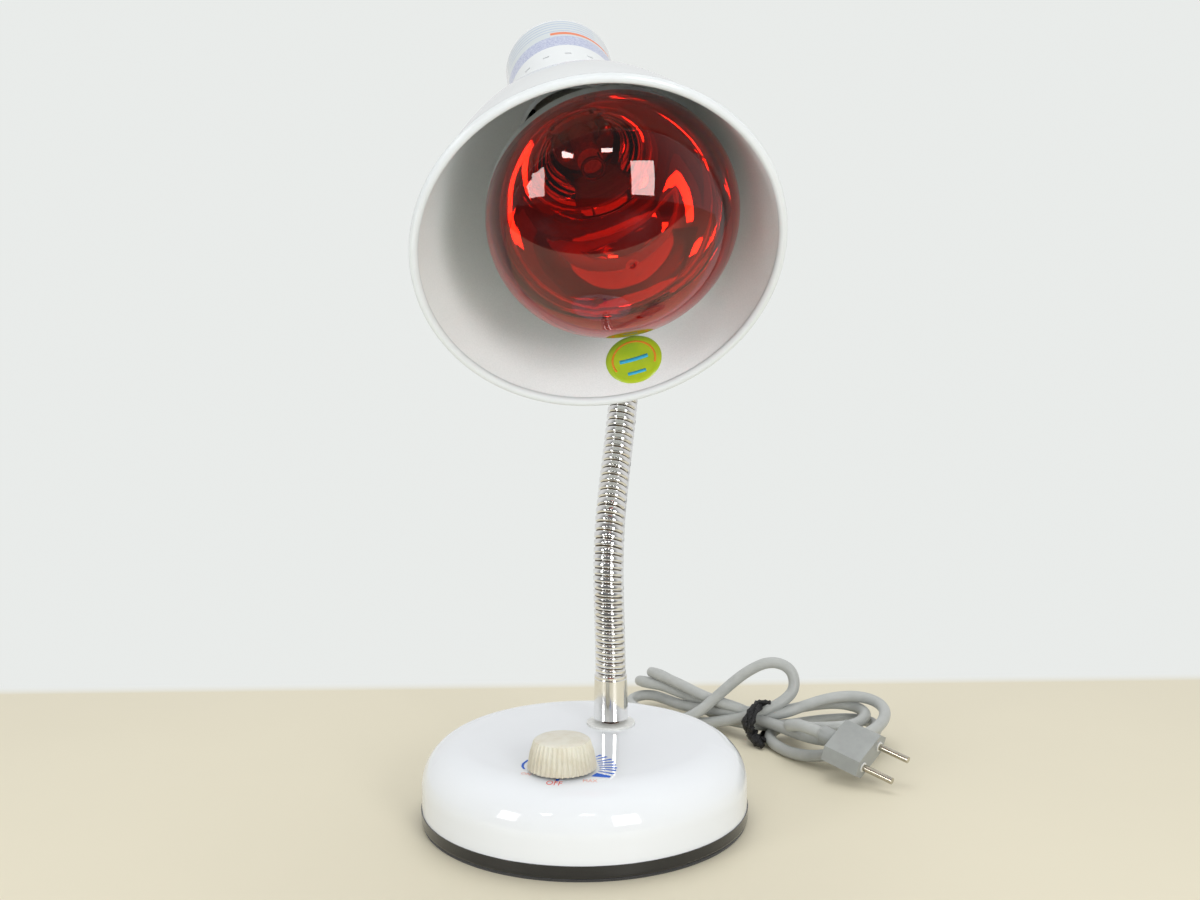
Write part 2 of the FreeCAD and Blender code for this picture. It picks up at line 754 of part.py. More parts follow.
def hose_bands(bottom, top):
    """Corners of the turned grooves between the bands of a sleeve, spread about its middle."""
    count = SIZES["band_count"]
    middle = (bottom + top) / 2
    corners = []
    for number in range(count):
        groove = middle + D.band_pitch * (number - (count - 1) / 2)
        corners += [(sleeve_radius, groove - D.band_depth), (sleeve_radius - D.band_depth, groove),
                    (sleeve_radius, groove + D.band_depth)]
    return corners


def make_root_link():
    """The hose's fixed foot: soldered into the lower ferrule, with a cup on top."""
    foot = -(D.first_seam + D.ferrule_cup)
    return turned("neck_root_link", [
        (D.link_bore, foot), (sleeve_radius, foot), (sleeve_radius, -cup_rim),
        (D.link_bore, -cup_floor, -cup_radius)])


def make_link(number):
    """A link of the neck: a ball that seats in the cup below, and a cup for the ball above."""
    rim = D.link_pitch - cup_rim
    return turned(f"neck_link_{number:02d}", [
        (D.link_bore, -ball_foot), (sleeve_radius, ball_top, D.ball_radius),
        *hose_bands(ball_top, rim), (sleeve_radius, rim),
        (D.link_bore, D.link_pitch - cup_floor, -cup_radius)])


def make_end_link():
    top = D.last_seam + D.ferrule_cup
    return turned("neck_end_link", [
        (D.link_bore, -ball_foot), (sleeve_radius, ball_top, D.ball_radius), (sleeve_radius, top),
        (D.link_bore, top)])


def make_ferrule(label, length):
    """A conical chrome ferrule: stud below, hose above, with a turned line under its mouth."""
    mouth = D.ferrule_top_radius
    line = length - D.ferrule_collar
    cup = length - D.ferrule_cup
    return turned(label, [
        (D.stud_radius, 0), (D.ferrule_foot_radius, 0), (mouth, line - D.band_depth),
        (mouth - D.band_depth, line), (mouth, line + D.band_depth), (mouth, length - D.band_depth),
        (mouth - D.band_depth, length), (sleeve_radius, length), (sleeve_radius, cup),
        (D.stud_radius, cup)])


def hollow_stud(label, bottom, top):
    return padded(label, ring_draw(0, 0, D.stud_radius, D.stud_bore), bottom, top - bottom)


def nut_draw(sketch):
    hexagon(sketch, as_dim(0), as_dim(0), D.neck_nut_flats)
    circle(sketch, 0, 0, D.stud_radius)


def make_neck_foot():
    washer = padded("neck_washer", ring_draw(0, 0, D.neck_washer_radius, D.stud_radius),
                    neck_seat_level, D.neck_washer_height)
    stud = hollow_stud("neck_stud", neck_underside - D.stud_below, ferrule_foot + D.stud_above)
    lock = padded("neck_lock_washer", ring_draw(0, 0, D.neck_nut_flats / 2, D.stud_radius),
                  neck_underside - D.washer_height, D.washer_height)
    nut = padded("neck_nut", nut_draw, neck_underside - D.washer_height - D.neck_nut_height,
                 D.neck_nut_height)
    for part in (washer, stud, lock, nut):
        stand(part, D.neck_x, D.neck_y, 0)
    stand(make_ferrule("lower_ferrule", D.ferrule_length), D.neck_x, D.neck_y, ferrule_foot)
    stand(make_root_link(), D.neck_x, D.neck_y, first_pivot)


def neck_poses():
    """Where each seam of the neck is at rest: the seam's point, and the turn of the piece above it."""
    point = Vector(D.neck_x.value, D.neck_y.value, first_pivot.value)
    spin = Rotation()
    poses = []
    for bend, sway in zip(NECK_BENDS, NECK_SWAYS):
        spin = spin * Rotation(X_AXIS, -bend) * Rotation(Y_AXIS, sway)
        poses.append(Placement(point, spin))
        point = point + spin.multVec(Z_AXIS * D.link_pitch.value)
    return poses


# =============================== head ============================================================
collar_radius = D.housing_radius - D.housing_wall - D.round_gap
collar_inside = collar_radius - D.shade_wall
housing_end = D.housing_front + D.housing_length
shade_screw_place = D.housing_front + D.collar_depth / 2
socket_seat = D.housing_front + D.socket_sunk + D.socket_length
bracket_reach = leg(collar_inside, D.bracket_width / 2) - D.fit_gap


def head_pose(end):
    """The head sits on the neck's last piece. Its frame has +Z back along the lamp's axis."""
    reach = D.last_seam + D.upper_ferrule_length + D.housing_radius
    turn_about_neck = Rotation(Z_AXIS, D.head_turn.value)
    spin = (end.Rotation * turn_about_neck * Rotation(Y_AXIS, D.neck_side.value)
            * Rotation(X_AXIS, -90))
    centre = end.Base + end.Rotation.multVec(Z_AXIS * reach.value)
    return Placement(centre - spin.multVec(Z_AXIS * D.neck_seat.value), spin)


def side_hole(body, height, radius, spin):
    """A round hole through one wall of a body of revolution, spun about its axis from +Y."""
    sketch = sketch_on(body, "XZ_Plane")
    sketch.AttachmentOffset = Placement(Vector(), Rotation(Y_AXIS, spin))
    circle(sketch, 0, height, radius)
    hole = body.newObject("PartDesign::Pocket", body.Name + "_side_hole")
    hole.Profile = sketch
    bind(hole, "Length", D.housing_radius * 1.5)
    body.Tip = hole
    return hole


def make_housing():
    """The white tube behind the shade, in a frame whose +Y runs out through the neck's fitting."""
    wall = D.housing_wall
    opening = D.housing_radius - D.housing_edge - wall
    housing = turned("lamp_housing", [
        (D.housing_radius, D.housing_front), (D.housing_radius, housing_end - D.housing_edge),
        (D.housing_radius - D.housing_edge, housing_end, D.housing_edge), (opening, housing_end),
        (opening, housing_end - wall), (D.housing_radius - D.housing_edge, housing_end - wall),
        (D.housing_radius - wall, housing_end - D.housing_edge, -(D.housing_edge - wall)),
        (D.housing_radius - wall, D.housing_front)])
    sketch = sketch_on(housing, "XZ_Plane", -D.housing_radius)
    circle(sketch, 0, D.neck_seat, D.fitting_radius)
    pad = housing.newObject("PartDesign::Pad", "fitting_pad")
    pad.Profile = sketch
    bind(pad, "Length", D.fitting_height)
    housing.Tip = pad
    side_hole(housing, D.neck_seat, D.stud_radius + D.fit_gap, 0)
    screw_side = D.neck_side.value - D.socket_side.value
    for side in (screw_side - 90, screw_side + 90):
        side_hole(housing, shade_screw_place, D.shade_screw_radius, side)
    slot_sketch = sketch_on(housing, "XZ_Plane")
    outline(slot_sketch, box_corners(-D.slot_length / 2, D.slot_length / 2,
                                     D.slot_place - D.slot_height / 2,
                                     D.slot_place + D.slot_height / 2))
    slot = housing.newObject("PartDesign::Pocket", "vent_slot")
    slot.Profile = slot_sketch
    bind(slot, "Length", D.housing_radius * 1.5)
    around(housing, slot, D.slot_count)
    return housing


def make_rear_cap():
    wall = D.housing_wall
    opening = D.housing_radius - D.housing_edge - wall
    flange = opening + wall
    return turned("rear_cap", [
        (0, housing_end - wall * 2), (flange, housing_end - wall * 2), (flange, housing_end - wall),
        (opening, housing_end - wall), (opening, housing_end - wall / 2),
        (0, housing_end - wall / 2)])


def make_shade():
    """The bell: two arcs from the rim bead to the throat, and a collar inside the housing."""
    wall = D.shade_wall
    back = D.housing_front + D.collar_depth
    throat = D.housing_front - wall
    shade = turned("shade", [
        (D.shade_mouth, D.bead_radius),
        (D.shade_waist_radius, D.shade_waist, D.shade_front_curve),
        (D.housing_radius, D.housing_front, D.shade_back_curve),
        (collar_radius, D.housing_front), (collar_radius, back), (collar_inside, back),
        (collar_inside, throat), (D.housing_radius - wall / 2, throat),
        (D.shade_waist_radius - wall, D.shade_waist, -D.shade_back_curve),
        (D.shade_mouth - wall, D.bead_radius, -D.shade_front_curve)])
    bead = sketch_on(shade, "XZ_Plane")
    circle(bead, D.shade_mouth, D.bead_radius, D.bead_radius)
    turn(shade, bead)
    for side in (-90, 90):
        side_hole(shade, shade_screw_place, D.shade_screw_radius, side)
    return shade


def make_bracket():
    """A strip bent to a U: it carries the lampholder and is screwed through the shade's collar."""
    thick = D.bracket_height
    lean = Dim(math.tan(math.radians(D.socket_lean.value)), "tan(Dims.socket_lean)")
    foot = D.housing_front + D.bracket_foot
    outer = bracket_reach
    inner = outer - thick
    bracket = new_body("lampholder_bracket")
    sketch = sketch_on(bracket, "XZ_Plane", -(D.bracket_width / 2))
    outline(sketch, [(-outer, foot), (-inner, foot), (-inner, socket_seat - inner * lean),
                     (inner, socket_seat + inner * lean), (inner, foot), (outer, foot),
                     (outer, socket_seat + thick + outer * lean),
                     (-outer, socket_seat + thick - outer * lean)])
    pad = bracket.newObject("PartDesign::Pad", "strip")
    pad.Profile = sketch
    bind(pad, "Length", D.bracket_width)
    bracket.Tip = pad
    for side in (-90, 90):
        side_hole(bracket, shade_screw_place, D.shade_screw_radius, side)
    return bracket


def make_shade_screws():
    screws = new_body("shade_screws")
    screws.AllowCompound = True
    shank_from = bracket_reach - D.bracket_height
    runs = [(shank_from, D.housing_radius, D.shade_screw_radius),
            (D.housing_radius, D.housing_radius + D.bracket_height, D.shade_screw_head)]
    for start, end, radius in runs:
        for from_x in (start, -end):
            sketch = sketch_on(screws, "YZ_Plane", from_x)
            circle(sketch, 0, shade_screw_place, radius)
            pad = screws.newObject("PartDesign::Pad", "screw_pad")
            pad.Profile = sketch
            bind(pad, "Length", end - start)
            screws.Tip = pad
    return screws


# =============================== lampholder and bulb =============================================
socket_radius = D.housing_radius - D.socket_clearance
bore_floor = D.socket_depth - D.socket_length
bulb_back_run = leg(D.bulb_back_curve, D.bulb_waist_radius - (D.bulb_radius - D.bulb_back_curve))
bulb_neck_curve = (D.bulb_back_curve * (D.bulb_waist_radius - D.bulb_neck_radius)
                   / (D.bulb_radius - D.bulb_waist_radius))
bulb_neck_start = (D.bulb_nose + bulb_back_run
                   + bulb_back_run * bulb_neck_curve / D.bulb_back_curve)
bulb_length = bulb_neck_start + D.bulb_neck_length + D.cap_length
bulb_front = bore_floor - D.contact_height - bulb_length


def make_lampholder():
    step, rear = D.socket_step, socket_radius - D.socket_step
    edge = D.socket_edge
    waist = bore_floor + step
    body = turned("lampholder", [
        (0, bore_floor), (D.socket_bore, bore_floor), (D.socket_bore, -D.socket_length),
        (socket_radius - edge, -D.socket_length),
        (socket_radius, edge - D.socket_length, edge), (socket_radius, waist),
        (rear, waist + step), (rear, 0), (0, 0)])
    shell = padded("lampholder_shell",
                   ring_draw(0, 0, D.socket_bore, D.socket_bore - D.shell_wall),
                   -D.socket_length + edge, D.socket_depth - edge * 2)
    contact = padded("lampholder_contact", disc_draw(0, 0, D.stud_radius),
                     bore_floor - D.contact_height, D.contact_height)
    return [body, shell, contact]


def bulb_corners(skin):
    """Half outline of the glass from nose to neck, set in from its outside by the skin."""
    nose, radius, corner = D.bulb_nose, D.bulb_radius, D.bulb_corner
    dome = ((nose * nose + (radius - corner) * (radius - corner) - corner * corner)
            / (2 * (nose - corner)))
    share = dome - corner
    back = D.bulb_back_curve
    drop = D.bulb_waist_radius - (radius - back)
    neck_end = bulb_length - D.cap_length
    inside = D.cap_radius - D.shell_wall - skin
    return [
        (0, skin),
        ((dome - skin) * (radius - corner) / share,
         dome + (dome - skin) * (nose - dome) / share, dome - skin),
        (radius - skin, nose, corner - skin),
        (radius - back + (back - skin) * drop / back,
         nose + (back - skin) * bulb_back_run / back, back - skin),
        (D.bulb_neck_radius - skin, bulb_neck_start, -(bulb_neck_curve + skin)),
        (inside, neck_end), (inside, neck_end + D.shell_wall)]


def make_bulb():
    glass = new_body("bulb_glass")
    rear = bulb_length - D.cap_length + D.shell_wall
    revolve(glass, bulb_corners(as_dim(0)) + [(0, rear)])
    revolve(glass, bulb_corners(D.bulb_wall) + [(0, rear)], "PartDesign::Groove")
    cap_front = bulb_length - D.cap_length
    cap_back = bulb_length - D.stud_radius
    cap = turned("bulb_cap", [
        (D.cap_radius - D.shell_wall, cap_front), (D.cap_radius, cap_front),
        (D.cap_radius, cap_back), (D.stud_radius, bulb_length - D.shell_wall),
        (D.stud_radius, bulb_length), (0, bulb_length), (0, cap_back),
        (D.cap_radius - D.shell_wall, cap_back)])
    stem_front = rear - D.stem_length
    stem = turned("bulb_stem", [
        (0, stem_front), (D.stem_radius, stem_front), (D.stem_radius, rear), (0, rear)])
    filament = new_body("bulb_filament")
    ring = sketch_on(filament, "XZ_Plane")
    ring_place = stem_front - D.filament_stand
    circle(ring, D.filament_radius, ring_place, D.filament_wire)
    turn(filament, ring)
    for side in (1, -1):
        raise_up(filament, disc_draw(D.filament_radius * side, 0, D.filament_wire / 2), ring_place,
                 D.filament_stand)
    return [glass, cap, stem, filament]


def make_head():
    poses = neck_poses()
    for number, pose in enumerate(poses[:-1], start=1):
        make_link(number).Placement = pose
    make_end_link().Placement = poses[-1]

    head = head_pose(poses[-1])
    fitting_reach = D.last_seam + D.upper_ferrule_length
    foot = poses[-1] * Placement(Z_AXIS * fitting_reach.value, Rotation(X_AXIS, 180))
    nut_corner = D.neck_nut_flats / math.sqrt(3)
    nut_top = leg(D.housing_radius - D.housing_wall, nut_corner) - D.housing_radius - D.fit_gap
    nut_foot = nut_top - D.neck_nut_height
    fitting = [make_ferrule("upper_ferrule", D.upper_ferrule_length),
               hollow_stud("upper_stud", nut_foot - D.washer_height, D.stud_above),
               padded("upper_nut", nut_draw, nut_foot, D.neck_nut_height)]
    for part in fitting:
        part.Placement = foot

    make_housing().Placement = head * Placement(Vector(), Rotation(Z_AXIS, -D.neck_side.value))
    turned_head = head * Placement(Vector(), Rotation(Z_AXIS, -D.socket_side.value))
    for part in (make_rear_cap(), make_shade(), make_bracket(), make_shade_screws()):
        part.Placement = turned_head
    seat = turned_head * Placement(Z_AXIS * socket_seat.value,
                                   Rotation(Y_AXIS, -D.socket_lean.value))
    for part in make_lampholder():
        part.Placement = seat
    for part in make_bulb():
        part.Placement = seat * Placement(Z_AXIS * bulb_front.value, Rotation())


# =============================== mains cord on the table =========================================
# The cord's route from the base to its tie, in millimetres: round behind the base, then up in a loop.
CORD_ROUTE = [(0, 100, 20), (0, 112, 20), (3, 125, 14), (13, 139, 8), (29, 150, 7), (46, 157, 13),
              (62, 161, 28), (78, 163, 42), (94, 163, 50), (108, 161, 46), (111, 158, 33),
              (103, 152, 25), (90, 146, 19)]
PLUG_LEAD_ROUTE = [(117, 101, 25), (106, 114, 19), (103, 132, 15)]
# Stations along the tied hank: place (x, y), height of its middle, half width and half height.
HANK_STATIONS = [(-3, 211, 17, 13.5, 13), (14, 202, 15.5, 20, 14.5), (46, 180, 14, 19, 12.5),
                 (72, 159, 12.5, 12, 10), (88, 146, 14, 10, 9.4), (104, 141, 14.5, 20, 12),
                 (128, 140, 15, 35, 13.5), (150, 143, 14, 31, 12.5), (167, 146, 12, 14, 9)]
TIE_INDEX = 4
PLUG_FACE = Vector(158, 78, 15.6)
PLUG_FORWARD = Vector(0.848, -0.475, -0.22)
PLUG_ACROSS = Vector(0.521, 0.713, 0.468)


def tangent_path(points):
    """Straight runs joined by arcs as large as the runs allow. Also gives the arcs' radii."""
    edges, radii = [], []
    here = points[0]
    for before, point, after in zip(points, points[1:], points[2:]):
        arriving, leaving = (point - before), (after - point)
        half_turn = arriving.getAngle(leaving) / 2
        cut = 0.45 * min(arriving.Length, leaving.Length)
        radius = cut / math.tan(half_turn)
        arriving.normalize()
        leaving.normalize()
        start, end = point - arriving * cut, point + leaving * cut
        towards = (leaving - arriving).normalize()
        middle = point + towards * (radius / math.cos(half_turn) - radius)
        edges += [Part.LineSegment(here, start).toShape(), Part.Arc(start, middle, end).toShape()]
        radii.append(round(radius, 1))
        here = end
    edges.append(Part.LineSegment(here, points[-1]).toShape())
    return Part.Wire(edges), radii


def hank_section(place, grow=0.0):
    """The hank's elliptical section at a station, square to the way the hank runs there."""
    x, y, middle, half_width, half_height = HANK_STATIONS[place]
    before = HANK_STATIONS[max(place - 1, 0)]
    after = HANK_STATIONS[min(place + 1, len(HANK_STATIONS) - 1)]
    along = Vector(after[0] - before[0], after[1] - before[1], 0).normalize()
    across = along.cross(Z_AXIS)
    centre = Vector(x, y, middle)
    half_width, half_height = half_width + grow, half_height + grow
    ellipse = Part.Ellipse(centre + across * half_width, centre + Z_AXIS * half_height, centre)
    return Part.Wire([ellipse.toShape()]), along


def make_hank_and_tie():
    sections = [hank_section(place)[0] for place in range(len(HANK_STATIONS))]
    hank = Part.makeLoft(sections, True)
    shape_part("cord_hank", hank)
    band, along = hank_section(TIE_INDEX, grow=D.tie_wall.value)
    face = Part.Face(band)
    face.translate(along * (-D.tie_width.value / 2))
    shape_part("cord_tie", face.extrude(along * D.tie_width.value).cut(hank))
    return hank


def make_plug(hank):
    """A flat moulded plug with two round pins. It lies on one edge, leaning on the hank."""
    thickness = PLUG_FORWARD.cross(PLUG_ACROSS)
    pose = Placement(PLUG_FACE, Rotation(PLUG_ACROSS, thickness, PLUG_FORWARD, "ZXY"))
    half_width, half_height = D.plug_width / 2, D.plug_height / 2
    top_width = half_width - D.plug_bevel

    def front(sketch):
        outline(sketch, [(half_width, 0), (top_width, half_height), (-top_width, half_height),
                         (-half_width, 0), (-top_width, -half_height), (top_width, -half_height)])
    body = padded("plug_body", front, -D.plug_length, D.plug_length)
    relief_end = -(D.plug_length + D.relief_length)
    raise_up(body, disc_draw(0, 0, D.relief_radius), relief_end, D.relief_length)
    for side in (1, -1):
        raise_up(body, disc_draw(D.pin_spacing / 2 * side, 0, D.collar_radius), 0, D.collar_height)
    body.Placement = pose
    pins = new_body("plug_pins")
    pins.AllowCompound = True
    for side in (1, -1):
        raise_up(pins, disc_draw(D.pin_spacing / 2 * side, 0, D.pin_radius), D.collar_height,
                 D.pin_length)
    pins.Placement = pose
    rear = pose.multVec(Z_AXIS * relief_end.value)
    cord_stretch("plug_lead", [rear] + [Vector(*point) for point in PLUG_LEAD_ROUTE], hank)


def cord_stretch(label, points, hank):
    """A tube along the route, up to where it goes into the hank."""
    path, radii = tangent_path(points)
    start = Part.Wire([Part.Circle(points[0], points[1] - points[0], D.cord_radius.value).toShape()])
    tube = path.makePipeShell([start], True, False)
    section = math.pi * D.cord_radius.value ** 2
    print(f"{label}: {path.Length:.0f} mm, radii {radii}, "
          f"volume over section times length {tube.Volume / (section * path.Length):.4f}")
    pieces = tube.cut(hank).Solids
    return shape_part(label, max(pieces, key=lambda solid: solid.Volume))


def make_cord():
    hank = make_hank_and_tie()
    make_plug(hank)
    cord_stretch("power_cord", [Vector(*point) for point in CORD_ROUTE], hank)


# =============================== build and export ================================================
make_foot_pad()
make_tray()
make_weight()
make_weight_bolts()
make_weight_nuts()
make_cover()
make_cover_screws()
make_dimmer()
make_dimmer_fasteners()
make_knob()
make_board()
make_cord_entry()
make_neck_foot()
make_head()
make_cord()
doc.recompute()

for item in doc.Objects:
    if "Invalid" in item.State or "Error" in item.State:
        raise RuntimeError(f"{item.Label} failed: {item.State}")
    if item.TypeId in ("PartDesign::Pocket", "PartDesign::Groove"):
        if item.Shape.Volume >= item.BaseFeature.Shape.Volume - 1e-6:
            raise RuntimeError(f"{item.Label} cuts nothing")

os.makedirs("parts", exist_ok=True)
for part in PARTS:
    if part.Shape.isNull() or not part.Shape.isValid():
        raise RuntimeError(f"{part.Label} has no valid shape")
    part.Shape.exportStep(f"parts/{part.Label}.step")
print(f"{len(PARTS)} sub-parts written")
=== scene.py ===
"""Looks of the infrared heat lamp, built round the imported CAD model. Metres, in its frame."""
import json
import math
import random

import bmesh
import bpy
from mathutils import Matrix, Vector
from mathutils.bvhtree import BVHTree


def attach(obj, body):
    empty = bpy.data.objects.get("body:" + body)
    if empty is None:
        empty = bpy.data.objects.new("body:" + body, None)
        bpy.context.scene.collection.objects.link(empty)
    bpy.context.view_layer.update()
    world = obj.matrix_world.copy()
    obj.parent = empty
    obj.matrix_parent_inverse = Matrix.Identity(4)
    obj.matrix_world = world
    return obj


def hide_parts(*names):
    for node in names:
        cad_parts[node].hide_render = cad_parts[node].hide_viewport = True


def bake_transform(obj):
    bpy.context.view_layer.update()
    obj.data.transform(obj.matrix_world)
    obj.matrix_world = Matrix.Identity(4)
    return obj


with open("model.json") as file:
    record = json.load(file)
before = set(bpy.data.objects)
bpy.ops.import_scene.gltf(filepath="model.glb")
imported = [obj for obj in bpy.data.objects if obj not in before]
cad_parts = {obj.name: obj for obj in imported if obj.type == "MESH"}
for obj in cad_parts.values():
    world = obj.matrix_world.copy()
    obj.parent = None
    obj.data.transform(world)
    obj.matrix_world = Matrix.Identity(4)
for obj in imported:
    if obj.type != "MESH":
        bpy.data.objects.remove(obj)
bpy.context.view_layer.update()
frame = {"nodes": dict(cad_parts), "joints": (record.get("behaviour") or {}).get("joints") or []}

MM = 0.001
NODES = frame["nodes"]
Z = Vector((0, 0, 1))

# The lamp head's frame: its origin is the centre of the shade's rim, +Z runs back along the lamp.
HEAD = Matrix(((0.94442, -0.19167, -0.26707, 23.746 * MM),
               (0.32872, 0.55784, 0.76208, -64.045 * MM),
               (0.00291, -0.80751, 0.58984, 301.722 * MM),
               (0, 0, 0, 1)))
# The bulb's own frame: it leans a little in the head, and +Z runs back along it from its seat.
BULB = (HEAD @ Matrix.Translation((0, 0, 0.182)) @ Matrix.Rotation(math.radians(-49.5), 4, "Z")
        @ Matrix.Rotation(math.radians(-4.4), 4, "Y"))
HOSE_FOOT = Vector((11.0, 21.3, 71.0)) * MM        # inside the lower ferrule
HOSE_END_WAY = Vector((-0.22214, -0.64428, 0.73182))
KNOB = Vector((0, -55.5, 45.5)) * MM
# The plug's frame: its origin is the middle of its face, +Z runs out along the pins.
PLUG_FORWARD = Vector((0.848, -0.475, -0.22)).normalized()
PLUG_ACROSS = Vector((0.521, 0.713, 0.468)).normalized()
PLUG = Matrix((PLUG_ACROSS, PLUG_FORWARD.cross(PLUG_ACROSS), PLUG_FORWARD)).transposed().to_4x4()
PLUG.translation = Vector((158, 78, 15.6)) * MM


def mm(*numbers):
    return Vector(numbers) * MM


# =============================== camera ==========================================================
def add_camera():
    heading, pitch, roll = (math.radians(a) for a in (-11.151, 4.275, 0.364))
    forward = Vector((math.sin(heading) * math.cos(pitch), math.cos(heading) * math.cos(pitch),
                      -math.sin(pitch)))
    level = forward.cross(Z).normalized()
    upright = level.cross(forward)
    right = level * math.cos(roll) - upright * math.sin(roll)
    up = upright * math.cos(roll) + level * math.sin(roll)
    data = bpy.data.cameras.new("camera")
    data.lens = data.sensor_width = 36
    camera = bpy.data.objects.new("camera", data)
    camera.matrix_world = Matrix.Translation(mm(136.0, -639.9, 252.4)) @ Matrix(
        (right, up, -forward)).transposed().to_4x4()
    bpy.context.scene.collection.objects.link(camera)
    bpy.context.scene.camera = camera


add_camera()


# =============================== mains cord ======================================================
CORD_DIAMETER = 7.4 * MM
# Route out of the base, behind it and up in a standing loop, down to the tie.
CORD_OUT = [(0, 100, 20), (0, 112, 20), (3, 125, 14), (13, 139, 8), (29, 150, 7), (46, 157, 13),
            (62, 161, 28), (78, 163, 42), (94, 163, 50), (108, 161, 46), (111, 158, 33),
            (103, 152, 25), (90, 146, 20)]
# The hank's turns: each goes left to its fold behind the base, and back to the right.
TURN_1 = [(76, 151, 13), (62, 155, 9), (46, 159, 5), (28, 168, 4), (12, 180, 4), (-1, 190, 4),
          (-8, 198, 5), (-9, 206, 6), (-3, 211, 8), (6, 210, 9), (15, 203, 9), (28, 190, 9),
          (44, 174, 11), (60, 165, 13), (76, 156, 15), (90, 149, 16), (104, 150, 18),
          (118, 158, 22), (134, 168, 25), (150, 172, 26), (163, 167, 25), (169.5, 153, 23),
          (167.5, 136, 20), (160, 120, 18), (149, 110, 16), (135, 106, 15), (121, 113, 14),
          (109, 125, 14), (99, 136, 14)]
TURN_2 = [(86, 147, 14), (72, 159, 15), (57, 172, 16), (42, 181, 16), (28, 189, 18), (15, 197, 20),
          (4, 201, 20), (-3, 207, 20), (-3, 214, 18), (4, 219, 16), (14, 218, 14), (28, 208, 12),
          (44, 193, 12), (60, 176, 13), (75, 160, 15), (90, 151, 17), (106, 158, 18),
          (122, 170, 19), (138, 177, 19), (150, 175, 18), (157, 165, 17), (156, 151, 17),
          (149, 138, 16), (136, 131, 16), (122, 131, 15), (108, 137, 13)]
TURN_3 = [(96, 143, 12), (84, 151, 15), (72, 158, 18), (58, 163, 20), (44, 170, 23), (33, 180, 25),
          (22, 191, 26), (12, 199, 27), (6, 206, 27), (6, 213, 25), (12, 218, 22), (21, 216, 18),
          (33, 204, 12), (48, 184, 8), (62, 167, 7), (76, 156, 8), (90, 150, 9), (106, 157, 8),
          (122, 169, 8), (138, 177, 8), (151, 176, 9), (161, 167, 10), (164, 152, 11),
          (162, 136, 12), (157, 120, 13), (149, 107, 12), (137, 99, 9), (123, 101, 6),
          (110, 111, 4), (100, 124, 4)]
CORD_IN = [(95, 135, 5), (95.5, 143, 6.5), (101, 149, 9), (109, 148, 11.5), (114.5, 140.5, 14),
           (114, 130, 17), (109, 120, 19.5), (108, 110, 22), (115, 102.4, 25.2), (124, 97, 24.3),
           (131, 93.2, 22.5)]


def add_cord():
    points = CORD_OUT + TURN_1 + TURN_2 + TURN_3 + CORD_IN
    curve = bpy.data.curves.new("mains_cord", "CURVE")
    curve.dimensions = "3D"
    spline = curve.splines.new("NURBS")
    spline.points.add(len(points) - 1)
    for point, place in zip(spline.points, points):
        point.co = (*mm(*place), 1)
    spline.order_u = 3
    spline.use_endpoint_u = True
    spline.resolution_u = 10
    curve.bevel_depth = CORD_DIAMETER / 2
    curve.bevel_resolution = 6
    curve.use_fill_caps = True
    cord = bpy.data.objects.new("mains_cord", curve)
    bpy.context.scene.collection.objects.link(cord)
    return cord


CORD = add_cord()


# =============================== materials =======================================================
RIM_TO = 4.8 * MM               # the rim bead's white reaches this far behind the rim's plane
RUBY = (0.78, 0.085, 0.045)
MIRROR_FROM = -154 * MM         # the bulb's mirror coat starts here in the bulb's frame
GREY = (0.425, 0.44, 0.425)     # the cord


